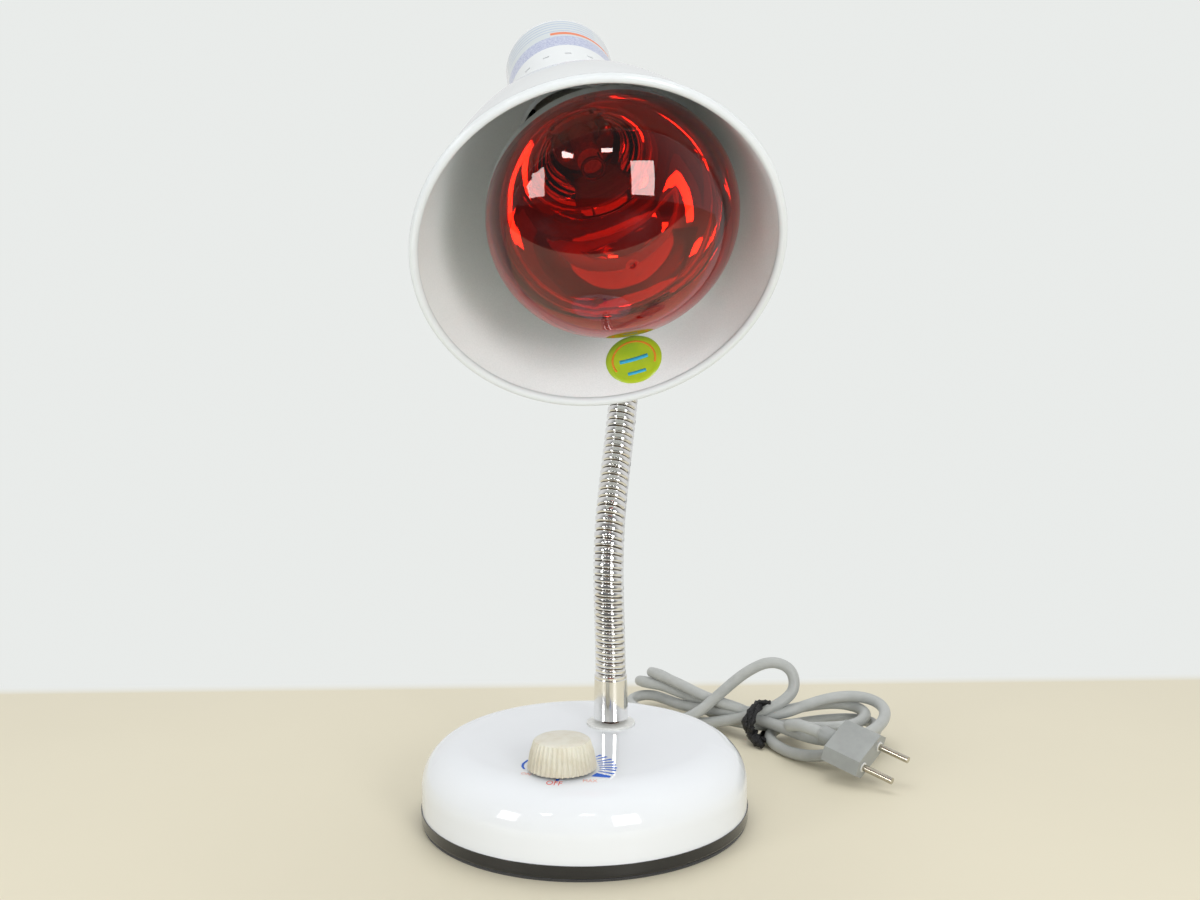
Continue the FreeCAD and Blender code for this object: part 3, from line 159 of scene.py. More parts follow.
class Paint:
    """A Principled material and short ways to feed its sockets."""

    def __init__(self, name, colour, **values):
        self.material = bpy.data.materials.new(name)
        self.material.use_nodes = True
        self.nodes = self.material.node_tree.nodes
        self.links = self.material.node_tree.links
        self.shader = self.nodes["Principled BSDF"]
        self.put("Base Color", (*colour, 1))
        for key, value in values.items():
            self.put(key.replace("_", " "), value)
        self.coords = self.add("ShaderNodeTexCoord")

    def add(self, kind, **settings):
        node = self.nodes.new(kind)
        for key, value in settings.items():
            setattr(node, key, value)
        return node

    def put(self, key, value):
        socket = self.shader.inputs[key]
        if isinstance(value, bpy.types.NodeSocket):
            self.links.new(value, socket)
        else:
            socket.default_value = value

    def feed(self, node, key, value):
        if isinstance(value, bpy.types.NodeSocket):
            self.links.new(value, node.inputs[key])
        elif value is not None:
            node.inputs[key].default_value = value

    def place(self, scale=(1, 1, 1), axes=None):
        """Object coordinates, measured along the axes of another frame when one is given."""
        out = self.coords.outputs["Object"]
        if axes is not None:
            shift = axes.inverted()
            node = self.add("ShaderNodeMapping")
            self.links.new(out, node.inputs["Vector"])
            node.inputs["Location"].default_value = shift.translation
            node.inputs["Rotation"].default_value = shift.to_euler()
            out = node.outputs["Vector"]
        if scale != (1, 1, 1):
            node = self.add("ShaderNodeVectorMath", operation="MULTIPLY")
            self.links.new(out, node.inputs[0])
            node.inputs[1].default_value = scale
            out = node.outputs["Vector"]
        return out

    def noise(self, scale, detail=3, rough=0.55, vector=None):
        node = self.add("ShaderNodeTexNoise")
        self.links.new(vector or self.place(), node.inputs["Vector"])
        for key, value in (("Scale", scale), ("Detail", detail), ("Roughness", rough)):
            node.inputs[key].default_value = value
        return node.outputs["Fac"]

    def span(self, value, low, high, to_low=0.0, to_high=1.0):
        node = self.add("ShaderNodeMapRange", clamp=True)
        for key, number in zip(("Value", "From Min", "From Max", "To Min", "To Max"),
                               (value, low, high, to_low, to_high)):
            self.feed(node, key, number)
        return node.outputs["Result"]

    def maths(self, kind, first, second=None):
        node = self.add("ShaderNodeMath", operation=kind)
        self.feed(node, 0, first)
        self.feed(node, 1, second)
        return node.outputs["Value"]

    def mix(self, share, first, second):
        node = self.add("ShaderNodeMix", data_type="RGBA")
        self.feed(node, 0, share)
        for index, colour in ((6, first), (7, second)):
            self.feed(node, index, (*colour, 1) if isinstance(colour, tuple) else colour)
        return node.outputs[2]

    def split(self, vector):
        node = self.add("ShaderNodeSeparateXYZ")
        self.links.new(vector, node.inputs[0])
        return node.outputs

    def bump(self, height, depth, strength=1.0):
        node = self.add("ShaderNodeBump")
        self.links.new(height, node.inputs["Height"])
        node.inputs["Distance"].default_value = depth
        node.inputs["Strength"].default_value = strength
        self.put("Normal", node.outputs["Normal"])

    def faces_in(self, axes):
        """1 where the surface faces the Z axis of the given frame, 0 where it faces away."""
        turn = self.add("ShaderNodeMapping", vector_type="NORMAL")
        turn.inputs["Rotation"].default_value = axes.inverted().to_euler()
        self.links.new(self.coords.outputs["Normal"], turn.inputs["Vector"])
        flat = self.add("ShaderNodeVectorMath", operation="MULTIPLY")
        flat.inputs[1].default_value = (1, 1, 0)
        self.links.new(self.place(axes=axes), flat.inputs[0])
        outward = self.add("ShaderNodeVectorMath", operation="DOT_PRODUCT")
        self.links.new(flat.outputs["Vector"], outward.inputs[0])
        self.links.new(turn.outputs["Vector"], outward.inputs[1])
        return self.span(outward.outputs["Value"], 0.0, -0.001)

    def radial(self, vector):
        """Distance from the Z axis of the given coordinates."""
        x, y, _ = self.split(vector)
        return self.maths("SQRT", self.maths("ADD", self.maths("MULTIPLY", x, x),
                                             self.maths("MULTIPLY", y, y)))


def lacquer(name, colour, rough):
    """Smooth glossy plastic or paint: faint mottling, uneven gloss, a fine orange peel."""
    paint = Paint(name, colour, Roughness=rough, Coat_Weight=0.3, Coat_Roughness=0.04)
    tone = paint.noise(9, 4)
    paint.put("Base Color", paint.mix(paint.span(tone, 0.3, 0.7),
                                      tuple(c * 0.97 for c in colour), colour))
    paint.put("Roughness", paint.span(paint.noise(38, 5), 0.35, 0.75, rough * 0.7, rough * 1.5))
    paint.bump(paint.noise(420, 2), 0.00003, 0.35)
    return paint


def dress(paint, *names):
    for name in names:
        piece = NODES[name]
        piece.data.materials.clear()
        piece.data.materials.append(paint.material)


def under(paint):
    """The colour that a material has so far, to be mixed with the next one."""
    return paint.shader.inputs["Base Color"].links[0].from_socket


def head_white():
    """White lacquer of the housing and its cap."""
    return lacquer("head_white", (0.76, 0.79, 0.795), 0.12)


def shade_paint():
    """White lacquer outside and on the rim bead, matt grey-white inside the bell, painted lighter
    than the outside as painted light.
    """
    paint = lacquer("shade_white", (0.70, 0.73, 0.735), 0.12)
    _, _, depth = paint.split(paint.place(axes=HEAD))
    inside = paint.faces_in(HEAD)
    grain = paint.noise(1500, 2)
    # Inside the bell the paint is lighter than the outside's white: painted light standing in for
    # light inside the bell.
    inside_painted_light = paint.mix(paint.span(grain, 0.35, 0.65), (0.86, 0.88, 0.87), (0.93, 0.945, 0.935))
    outer = under(paint)
    bell = paint.mix(inside, outer, inside_painted_light)
    paint.put("Base Color", paint.mix(paint.span(depth, RIM_TO, RIM_TO - 0.8 * MM), bell, outer))
    paint.put("Roughness", paint.span(inside, 0, 1, 0.12, 0.55))
    paint.put("Coat Weight", 0.0)
    return paint


# The housing's printed label: how far back it lies (mm) and how far it reaches round (radians).
LABEL_BACK, LABEL_ROUND = (180.8, 218.0), (-1.45, 1.05)
LABEL_LINES_BACK, LABEL_LINES_ROUND, LABEL_LINE_PITCH = (201.6, 217.2), (-1.3, 0.6), 3.6 * MM
LABEL_BAR_BACK, LABEL_BAR_ROUND = (196.8, 200.5), (-0.28, 0.95)
LABEL_BAND_ENDS = (195.0 * MM, 194.5 * MM)
LABEL_WHITE, LABEL_BLUE, LABEL_ORANGE = (0.60, 0.655, 0.67), (0.36, 0.44, 0.62), (0.76, 0.17, 0.05)
LABEL_VIOLET = ((0.38, 0.42, 0.60), (0.54, 0.58, 0.71))
# Near black on the housing's inner faces: painted shade, seen through its vent slots.
HOUSING_PAINTED_SHADE = (0.05, 0.055, 0.055)


def housing_paint():
    """White lacquer, a pale label near the rear (a lavender band, an orange bar, lines), painted
    shade inside.
    """
    paint = head_white()
    x, y, z = paint.split(paint.place(axes=HEAD))
    angle = paint.maths("ARCTAN2", x, paint.maths("MULTIPLY", y, -1.0))

    def zone(value, low, high, soft):
        return paint.maths("MULTIPLY", paint.span(value, low, low + soft),
                           paint.span(value, high, high - soft))

    def field(back, round_it, soft):
        """1 in a field of the print, with its edges across the housing as soft as given."""
        return paint.maths("MULTIPLY", zone(z, *(edge * MM for edge in back), soft * MM),
                           zone(angle, *round_it, 0.01))
    label = field(LABEL_BACK, LABEL_ROUND, 0.4)
    violet = paint.mix(paint.span(paint.noise(900, 3), 0.42, 0.6), *LABEL_VIOLET)
    wave = paint.maths("SINE", paint.maths("MULTIPLY", z, 2 * math.pi / LABEL_LINE_PITCH))
    lines = paint.maths("MULTIPLY", paint.span(wave, 0.72, 0.8),
                        field(LABEL_LINES_BACK, LABEL_LINES_ROUND, 0.2))
    bar = field(LABEL_BAR_BACK, LABEL_BAR_ROUND, 0.3)
    colour = paint.mix(label, under(paint), LABEL_WHITE)
    colour = paint.mix(paint.maths("MULTIPLY", lines, label), colour, LABEL_BLUE)
    band = paint.maths("MULTIPLY", label, paint.span(z, *LABEL_BAND_ENDS))
    colour = paint.mix(band, colour, violet)
    colour = paint.mix(bar, colour, LABEL_ORANGE)
    # The inner faces are painted near black: painted shade.
    paint.put("Base Color", paint.mix(paint.faces_in(HEAD), colour, HOUSING_PAINTED_SHADE))
    return paint


def chrome():
    """Plated steel: faint wiping streaks and tea-coloured stains."""
    rough, stain, plating = 0.07, 0.25, (0.86, 0.86, 0.85)
    paint = Paint("chrome", plating, Metallic=1.0, Roughness=rough)
    stains = paint.maths("MULTIPLY", paint.span(paint.noise(130, 6, 0.7), 0.52, 0.72), stain)
    paint.put("Base Color", paint.mix(stains, plating, (0.38, 0.30, 0.19)))
    streak = paint.noise(90, 4, 0.6, paint.place((1, 1, 0.06)))
    paint.put("Roughness", paint.span(streak, 0.3, 0.75, rough * 0.7, rough * 2.2))
    paint.bump(paint.noise(260, 2), 0.00004, 0.25)
    return paint


def hose_filler():
    """The dark, stained gap between the hose's bands."""
    paint = Paint("hose_filler", (0.05, 0.036, 0.022), Roughness=0.5, Metallic=0.3)
    paint.put("Base Color", paint.mix(paint.span(paint.noise(400, 4), 0.35, 0.7),
                                      (0.016, 0.013, 0.010), (0.16, 0.105, 0.045)))
    paint.bump(paint.noise(900, 3), 0.0001, 0.6)
    return paint


THREAD_PITCH = 1 * MM


def rusty():
    """The stud's bare steel, rusty, with its thread as relief."""
    paint = Paint("rusty_thread", (0.12, 0.07, 0.04), Metallic=0.6, Roughness=0.55)
    rust = paint.noise(700, 5, 0.7)
    paint.put("Base Color", paint.mix(paint.span(rust, 0.4, 0.65), (0.05, 0.045, 0.04),
                                      (0.30, 0.12, 0.04)))
    _, _, z = paint.split(paint.place())
    thread = paint.maths("SINE", paint.maths("MULTIPLY", z, 2 * math.pi / THREAD_PITCH))
    paint.bump(thread, 0.0003, 0.9)
    return paint


def grey_metal():
    paint = Paint("plain_steel", (0.52, 0.52, 0.53), Metallic=1.0, Roughness=0.34)
    paint.put("Roughness", paint.span(paint.noise(300, 5), 0.3, 0.7, 0.26, 0.5))
    paint.bump(paint.noise(800, 3), 0.00003, 0.4)
    return paint


def washer_grey():
    paint = Paint("washer_grey", (0.72, 0.73, 0.71), Metallic=0.15, Roughness=0.42)
    paint.put("Base Color", paint.mix(paint.span(paint.noise(500, 5), 0.35, 0.7),
                                      (0.74, 0.75, 0.72), (0.86, 0.87, 0.84)))
    paint.bump(paint.noise(900, 2), 0.00003, 0.4)
    return paint


# Distances from the knob's axis between which its side and its flutes' crests begin.
KNOB_SIDE, KNOB_CRESTS = (15.0 * MM, 17.0 * MM), (18.3 * MM, 19.0 * MM)


def cream():
    """Moulded cream plastic, darker in the flutes."""
    paint = Paint("cream_plastic", (0.72, 0.69, 0.58), Roughness=0.38, Subsurface_Weight=0.05)
    paint.put("Subsurface Radius", (0.004, 0.003, 0.002))
    local = paint.place(axes=Matrix.Translation(KNOB))
    grub = paint.noise(160, 5, 0.6)
    dirty = paint.mix(paint.span(grub, 0.4, 0.7), (0.74, 0.72, 0.62), (0.66, 0.62, 0.50))
    radius = paint.radial(local)
    on_crests = paint.span(radius, *KNOB_CRESTS)
    # The flutes are painted darker than the rest of the knob.
    in_flutes = paint.maths("MULTIPLY", paint.span(on_crests, 0, 1, 0.45, 0.0),
                            paint.span(radius, *KNOB_SIDE))
    paint.put("Base Color", paint.mix(in_flutes, dirty, (0.50, 0.45, 0.34)))
    paint.put("Roughness", paint.span(grub, 0.3, 0.7, 0.30, 0.46))
    paint.bump(paint.noise(1400, 2), 0.00002, 0.5)
    return paint


def pvc(name, colour, rough=0.42):
    """Soft grey cable sheath: satin, mottled, with small rubbed marks."""
    paint = Paint(name, colour, Roughness=rough, Sheen_Weight=0.05)
    tone = paint.noise(60, 5, 0.6)
    paint.put("Base Color", paint.mix(paint.span(tone, 0.3, 0.7), tuple(c * 0.86 for c in colour),
                                      tuple(min(1, c * 1.08) for c in colour)))
    paint.put("Roughness", paint.span(paint.noise(240, 5), 0.3, 0.7, rough * 0.8, rough * 1.25))
    paint.bump(paint.noise(1100, 3), 0.00005, 0.5)
    return paint


def plug_paint():
    """The plug's grey, and white collars round its pins, in front of its face."""
    paint = pvc("plug_grey", (0.32, 0.335, 0.325), 0.36)
    _, _, z = paint.split(paint.place(axes=PLUG))
    collars = paint.span(z, 0.1 * MM, 0.2 * MM)
    paint.put("Base Color", paint.mix(collars, under(paint), (0.80, 0.81, 0.80)))
    return paint


def felt():
    paint = Paint("felt", (0.03, 0.03, 0.03), Roughness=0.95, Sheen_Weight=0.3)
    fibre = paint.noise(2600, 4, 0.7)
    paint.put("Base Color", paint.mix(fibre, (0.012, 0.012, 0.012), (0.07, 0.07, 0.07)))
    paint.bump(fibre, 0.0003, 0.8)
    return paint


def plain(name, colour, rough=0.5, metal=0.0, grain=500, depth=0.00005):
    """Hidden and small parts: an even colour with a fine grain of its own."""
    paint = Paint(name, colour, Roughness=rough, Metallic=metal)
    fine = paint.noise(grain, 4)
    paint.put("Base Color", paint.mix(paint.span(fine, 0.3, 0.7), tuple(c * 0.8 for c in colour),
                                      tuple(min(1, c * 1.1) for c in colour)))
    paint.bump(fine, depth, 0.5)
    return paint


def ruby():
    """Clear ruby glass, and behind its widest circle a mirror coat, satin on the outside."""
    paint = Paint("ruby_glass", RUBY, IOR=1.5, Coat_Weight=0.12, Coat_Roughness=0.01)
    _, _, z = paint.split(paint.place(axes=BULB))
    mirror = paint.span(z, MIRROR_FROM - 0.3 * MM, MIRROR_FROM + 0.3 * MM)
    inner = paint.faces_in(BULB)
    coat = paint.mix(inner, (0.74, 0.76, 0.74), (0.92, 0.90, 0.89))
    paint.put("Base Color", paint.mix(mirror, RUBY, coat))
    paint.put("Metallic", mirror)
    paint.put("Transmission Weight", paint.span(mirror, 0, 1, 1, 0))
    satin = paint.span(inner, 0, 1, 0.32, 0.03)
    paint.put("Roughness", paint.maths("ADD", paint.maths("MULTIPLY", mirror, satin), 0.008))
    paint.bump(paint.maths("MULTIPLY", paint.noise(19, 2), mirror), 0.0016, 0.3)
    return paint


CHROME = chrome()
PVC = pvc("grey_pvc", GREY)
dress(lacquer("base_white", (0.80, 0.83, 0.86), 0.09), "base_cover")
dress(shade_paint(), "shade")
dress(housing_paint(), "lamp_housing")
dress(head_white(), "rear_cap")
dress(lacquer("black_gloss", (0.012, 0.012, 0.013), 0.13), "base_tray")
dress(felt(), "foot_pad")
dress(grey_metal(), "base_weight", "weight_bolts", "weight_nuts", "base_screws", "dimmer_washer",
      "dimmer_nut", "neck_lock_washer", "neck_nut", "upper_nut", "lampholder_bracket",
      "shade_screws", "heat_sink")
dress(CHROME, "lower_ferrule", "upper_ferrule")
dress(washer_grey(), "neck_washer")
dress(rusty(), "neck_stud", "upper_stud")
dress(cream(), "knob")
dress(plain("shaft", (0.7, 0.7, 0.7), 0.35, 1.0), "knob_shaft")
dress(PVC, "inner_cord")
dress(plug_paint(), "plug_body")
dress(plain("pin_plate", (0.62, 0.58, 0.48), 0.22, 1.0, 300), "plug_pins")
dress(plain("black_parts", (0.02, 0.02, 0.02), 0.5), "dimmer_body", "cord_clamp",
      "capacitor")
dress(pvc("grommet_grey", (0.36, 0.38, 0.39)), "cord_grommet")
dress(plain("board", (0.35, 0.2, 0.07), 0.6), "circuit_board")
dress(plain("copper", (0.5, 0.16, 0.06), 0.3, 0.9, 900), "filter_coil")
dress(plain("terminal", (0.7, 0.7, 0.62), 0.5), "terminal_block")
dress(plain("ceramic", (0.8, 0.78, 0.7), 0.2), "lampholder")
dress(plain("brass", (0.7, 0.5, 0.2), 0.3, 1.0), "lampholder_shell", "lampholder_contact")
dress(plain("cap_metal", (0.6, 0.6, 0.6), 0.3, 1.0), "bulb_cap")
dress(ruby(), "bulb_glass")
dress(plain("stem_glass", (0.75, 0.78, 0.76), 0.2), "bulb_stem")
dress(plain("filament", (0.2, 0.2, 0.2), 0.4, 1.0), "bulb_filament")


# =============================== mesh helpers ====================================================
def mesh_piece(name, verts, faces, materials, picks=None):
    mesh = bpy.data.meshes.new(name)
    mesh.from_pydata([tuple(v) for v in verts], [], faces)
    for paint in materials:
        mesh.materials.append(paint.material)
    if picks:
        mesh.polygons.foreach_set("material_index", picks)
    mesh.polygons.foreach_set("use_smooth", [True] * len(mesh.polygons))
    mesh.update()
    piece = bpy.data.objects.new(name, mesh)
    bpy.context.scene.collection.objects.link(piece)
    return piece


def film(piece, thickness, offset):
    """Gives a printed or glued sheet its thickness (mm)."""
    sheet = piece.modifiers.new("film", "SOLIDIFY")
    sheet.thickness = thickness * MM
    sheet.offset = offset


def disc_faces(rings, count):
    """Faces of a disc whose vertices are its middle and then each ring of count points."""
    faces = []
    for i in range(count):
        after = (i + 1) % count
        faces.append((0, 1 + i, 1 + after))
        for ring in range(rings - 1):
            a, b = 1 + ring * count + i, 1 + ring * count + after
            faces.append((a, a + count, b + count, b))
    return faces


# =============================== gooseneck hose ==================================================
def bezier(a, b, c, t):
    return a * (1 - t) ** 2 + b * 2 * t * (1 - t) + c * t * t


def bezier_way(a, b, c, t):
    return ((b - a) * (1 - t) + (c - b) * t).normalized()


NECK_JOINTS = [joint for joint in frame["joints"] if joint["name"] != "dimmer_turn"]
NECK_JOINTS.sort(key=lambda joint: (joint["child"] == "head", joint["child"]))
SEAMS = [Vector(joint["pos_m"]) for joint in NECK_JOINTS]
LINK_NODES = ["neck_root_link"] + [f"neck_link_{n:02d}" for n in range(1, 12)] + ["neck_end_link"]
HOSE_RADIUS = 8.75 * MM
HOSE_END_REACH = 15 * MM        # how far the hose goes on beyond the last seam
SPARE_BANDS = 12 * MM           # bands are laid out this far past the hose's end
# Pitch of the bands along the neck: (share of its length, pitch in mm).
BAND_PITCH = [(0.0, 3.5), (0.22, 3.9), (0.30, 5.0), (0.42, 4.6), (0.6, 4.3), (1.0, 4.3)]
# One band's profile: (share of the pitch, share of the hose's radius).
BAND_SHAPE = [(0.00, 0.88), (0.05, 0.955), (0.13, 0.992), (0.28, 1.0), (0.56, 1.0), (0.70, 0.992),
              (0.78, 0.955), (0.83, 0.88)]
ROUND = 40                      # points round the hose


def hose_stations():
    """Centre line as one smooth curve that keeps to each link's own axis half way along it."""
    end = SEAMS[-1] + HOSE_END_WAY * HOSE_END_REACH
    return [HOSE_FOOT] + [(a + b) / 2 for a, b in zip(SEAMS, SEAMS[1:])] + [end]


def pitch_at(share):
    for (a, low), (b, high) in zip(BAND_PITCH, BAND_PITCH[1:]):
        if share <= b:
            return (low + (high - low) * (share - a) / (b - a)) * MM
    return BAND_PITCH[-1][1] * MM


def hose_table(halves):
    """Points, directions and running lengths along the whole hose, and where each section ends."""
    rows, joins, run = [], [0.0], 0.0
    side = Vector((1, 0, 0))
    last = halves[0]
    steps = 60
    for number, seam in enumerate(SEAMS):
        a, c = halves[number], halves[number + 1]
        for step in range(steps + (number == len(SEAMS) - 1)):
            point = bezier(a, seam, c, step / steps)
            way = bezier_way(a, seam, c, step / steps)
            run += (point - last).length
            last = point
            side = (side - way * side.dot(way)).normalized()
            rows.append((run, point, way, side.copy()))
        joins.append(run + (c - last).length)
    return rows, joins


def look_up(rows, run):
    low, high = 0, len(rows) - 1
    while high - low > 1:
        middle = (low + high) // 2
        if rows[middle][0] <= run:
            low = middle
        else:
            high = middle
    a, b = rows[low], rows[high]
    t = min(max((run - a[0]) / (b[0] - a[0]), 0), 1)
    way = a[2].lerp(b[2], t).normalized()
    side = a[3].lerp(b[3], t)
    side = (side - way * side.dot(way)).normalized()
    return a[1].lerp(b[1], t), way, side


def hose_turns(total):
    """Running lengths at which each new band starts."""
    starts, run = [0.0], 0.0
    while run < total + SPARE_BANDS:
        run += pitch_at(min(run / total, 1))
        starts.append(run)
    return starts


def add_hose():
    halves = hose_stations()
    rows, joins = hose_table(halves)
    total = rows[-1][0]
    starts = hose_turns(total)

    def run_at(turns):
        whole = min(max(int(math.floor(turns)), 0), len(starts) - 2)
        return starts[whole] + (starts[whole + 1] - starts[whole]) * (turns - whole)

    def turns_at(run):
        for number, (a, b) in enumerate(zip(starts, starts[1:])):
            if a <= run <= b:
                return number + (run - a) / (b - a)
        return len(starts) - 2.0

    filler = hose_filler()
    cuts = [max(1, round(turns_at(join))) for join in joins]
    cuts[0], cuts[-1] = 1, int(turns_at(joins[-1]))
    for number in range(len(SEAMS)):
        first, last = cuts[number], cuts[number + 1]
        verts, faces, picks = [], [], []
        levels = [(turn, share, radius) for turn in range(first, last)
                  for share, radius in BAND_SHAPE]
        levels.append((last, *BAND_SHAPE[0]))

        def ring(turn, share, radius):
            for step in range(ROUND):
                angle = 2 * math.pi * step / ROUND
                run = run_at(turn + share - step / ROUND)
                point, way, side = look_up(rows, run)
                out = side * math.cos(angle) + way.cross(side) * math.sin(angle)
                verts.append(point + out * radius)
        for turn, share, radius in levels:
            ring(turn, share, HOSE_RADIUS * radius)
        count = len(levels)
        band = len(BAND_SHAPE)
        for level in range(count - 1):
            in_gap = level % band == band - 1
            for step in range(ROUND):
                after = (step + 1) % ROUND
                # The seam between the last and the first column steps by one whole turn.
                up = band if after == 0 else 0
                a, b = level * ROUND + step, (level + up) * ROUND + after
                c, d = (level + 1 + up) * ROUND + after, (level + 1) * ROUND + step
                if c < count * ROUND:
                    faces.append((a, b, c, d))
                    picks.append(1 if in_gap else 0)
        add_section(number, verts, faces, picks, filler)


def add_section(number, verts, faces, picks, filler):
    """One stretch of the hose round its seam; the two links' CAD pieces there are hidden."""
    piece = mesh_piece(f"hose_{number + 1:02d}", verts, faces, [CHROME, filler],
                       picks=picks)
    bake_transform(piece)
    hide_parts(LINK_NODES[number], LINK_NODES[number + 1])


add_hose()


# =============================== printed dial ====================================================
def surface_of(name):
    mesh = NODES[name].data
    return BVHTree.FromPolygons([v.co.copy() for v in mesh.vertices],
                                [tuple(p.vertices) for p in mesh.polygons])


def print_paint(name, colour):
    paint = Paint(name, colour, Roughness=0.6, Specular_IOR_Level=0.15)
    wear = paint.noise(900, 4, 0.7)
    paint.put("Base Color", paint.mix(paint.span(wear, 0.55, 0.8), colour,
                                      tuple(c + (0.8 - c) * 0.2 for c in colour)))
    paint.bump(wear, 0.00002, 0.3)
    return paint


COVER = surface_of("base_cover")
BLUE = print_paint("print_blue", (0.03, 0.13, 0.60))
RED = print_paint("print_red", (0.78, 0.10, 0.07))
FAINT_RED = print_paint("print_faint_red", (0.80, 0.40, 0.33))


def lay_on_cover(x, y, lift=0.06 * MM):
    hit, normal, _, _ = COVER.ray_cast(Vector((x, y, 0.2)), -Z)
    return hit + normal * lift


def dial_patch(name, paint, corners, across=6, along=4):
    """A printed patch on the cover between four corners (x, y in mm), given round its outline."""
    a, b, c, d = (Vector(corner) * MM for corner in corners)
    verts, faces = [], []
    for i in range(across + 1):
        for j in range(along + 1):
            near, far = a.lerp(b, i / across), d.lerp(c, i / across)
            verts.append(lay_on_cover(*near.lerp(far, j / along)))
    for i in range(across):
        for j in range(along):
            first = i * (along + 1) + j
            faces.append((first, first + 1, first + along + 2, first + along + 1))
    finish_print(name, verts, faces, paint)


def finish_print(name, verts, faces, paint):
    """Makes a print on the cover from its faces, all turned to look up."""
    mesh = bmesh.new()
    made = [mesh.verts.new(v) for v in verts]
    for face in faces:
        mesh.faces.new([made[i] for i in face])
    mesh.normal_update()
    if sum(f.normal.z for f in mesh.faces) < 0:
        bmesh.ops.reverse_faces(mesh, faces=mesh.faces)
    data = bpy.data.meshes.new(name)
    mesh.to_mesh(data)
    mesh.free()
    data.materials.append(paint.material)
    piece = bpy.data.objects.new(name, data)
    bpy.context.scene.collection.objects.link(piece)
    film(piece, 0.04, 1)
    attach(piece, "base")


def dial_word(text, x, y, turn, width, height, paint):
    """A word on the cover, its middle at x, y and its foot towards the front of the base (mm)."""
    curve = bpy.data.curves.new("word", "FONT")
    curve.body = text
    curve.align_x = curve.align_y = "CENTER"
    curve.resolution_u = 3
    temporary = bpy.data.objects.new("word", curve)
    bpy.context.scene.collection.objects.link(temporary)
    bpy.context.view_layer.update()
    mesh = bpy.data.meshes.new_from_object(temporary)
    bpy.data.objects.remove(temporary)
    xs, ys = [v.co.x for v in mesh.vertices], [v.co.y for v in mesh.vertices]
    fit = Matrix.Diagonal((width * MM / (max(xs) - min(xs)), height * MM / (max(ys) - min(ys)), 1))
    spin = Matrix.Rotation(math.radians(turn), 3, "Z") @ fit
    verts = []
    for vertex in mesh.vertices:
        place = spin @ vertex.co
        verts.append(lay_on_cover(x * MM + place.x, y * MM + place.y))
    faces = [tuple(p.vertices) for p in mesh.polygons]
    finish_print("dial_" + text.lower(), verts, faces, paint)


# Rays of the power scale, from the front to the back: inner end x, y and outer end x, y in mm.
SCALE_RAYS = [(18.8, -55.6, 27.4, -57.8), (19.0, -53.0, 27.6, -53.0), (18.5, -50.6, 27.5, -49.6),
              (17.5, -48.0, 26.2, -45.7), (16.7, -45.5, 24.7, -41.6), (15.8, -43.3, 22.4, -38.2),
              (14.7, -39.7, 19.4, -35.1), (13.8, -36.2, 16.0, -33.2)]


def add_dial():
    dial_word("OFF", -0.1, -73.2, 0, 8.0, 3.3, RED)
    dial_word("ON", -16.5, -65.2, -14, 5.4, 2.6, FAINT_RED)
    dial_word("MAX", 17.2, -68.5, 10, 7.2, 2.6, FAINT_RED)
    dial_patch("dial_dot", BLUE, ((0.3, -71.2), (1.7, -71.2), (1.9, -69.2), (0.1, -69.2)), 2, 2)
    dial_patch("dial_block", BLUE, ((16.8, -63.2), (26.0, -63.1), (26.6, -60.9), (18.5, -58.2)))
    for number, (x, y, far_x, far_y) in enumerate(SCALE_RAYS):
        way = Vector((far_x - x, far_y - y)).normalized()
        side = Vector((way.y, -way.x))
        near, far = Vector((x, y)), Vector((far_x, far_y))
        dial_patch(f"dial_wedge_{number + 1}", BLUE, (near + side * 0.25, far + side * 0.8,
                                                      far - side * 0.8, near - side * 0.25), 6, 2)
    arc = [(-19.8, -58.8), (-21.6, -55.4), (-22.1, -51.6), (-20.9, -46.4)]
    for number, (start, end) in enumerate(zip(arc, arc[1:])):
        dial_patch(f"dial_arc_{number + 1}", BLUE, (start, end, (end[0] + 1.3, end[1]),
                                                    (start[0] + 1.3, start[1])), 4, 1)


add_dial()


# =============================== sticker inside the shade ========================================
SHADE = surface_of("shade")
HEAD_ROTATION = HEAD.to_3x3()
STICKER_WALL = 84 * MM          # the bell's inside radius at the sticker
WITHIN_BELL = 60 * MM           # rays to the wall start this far from the axis


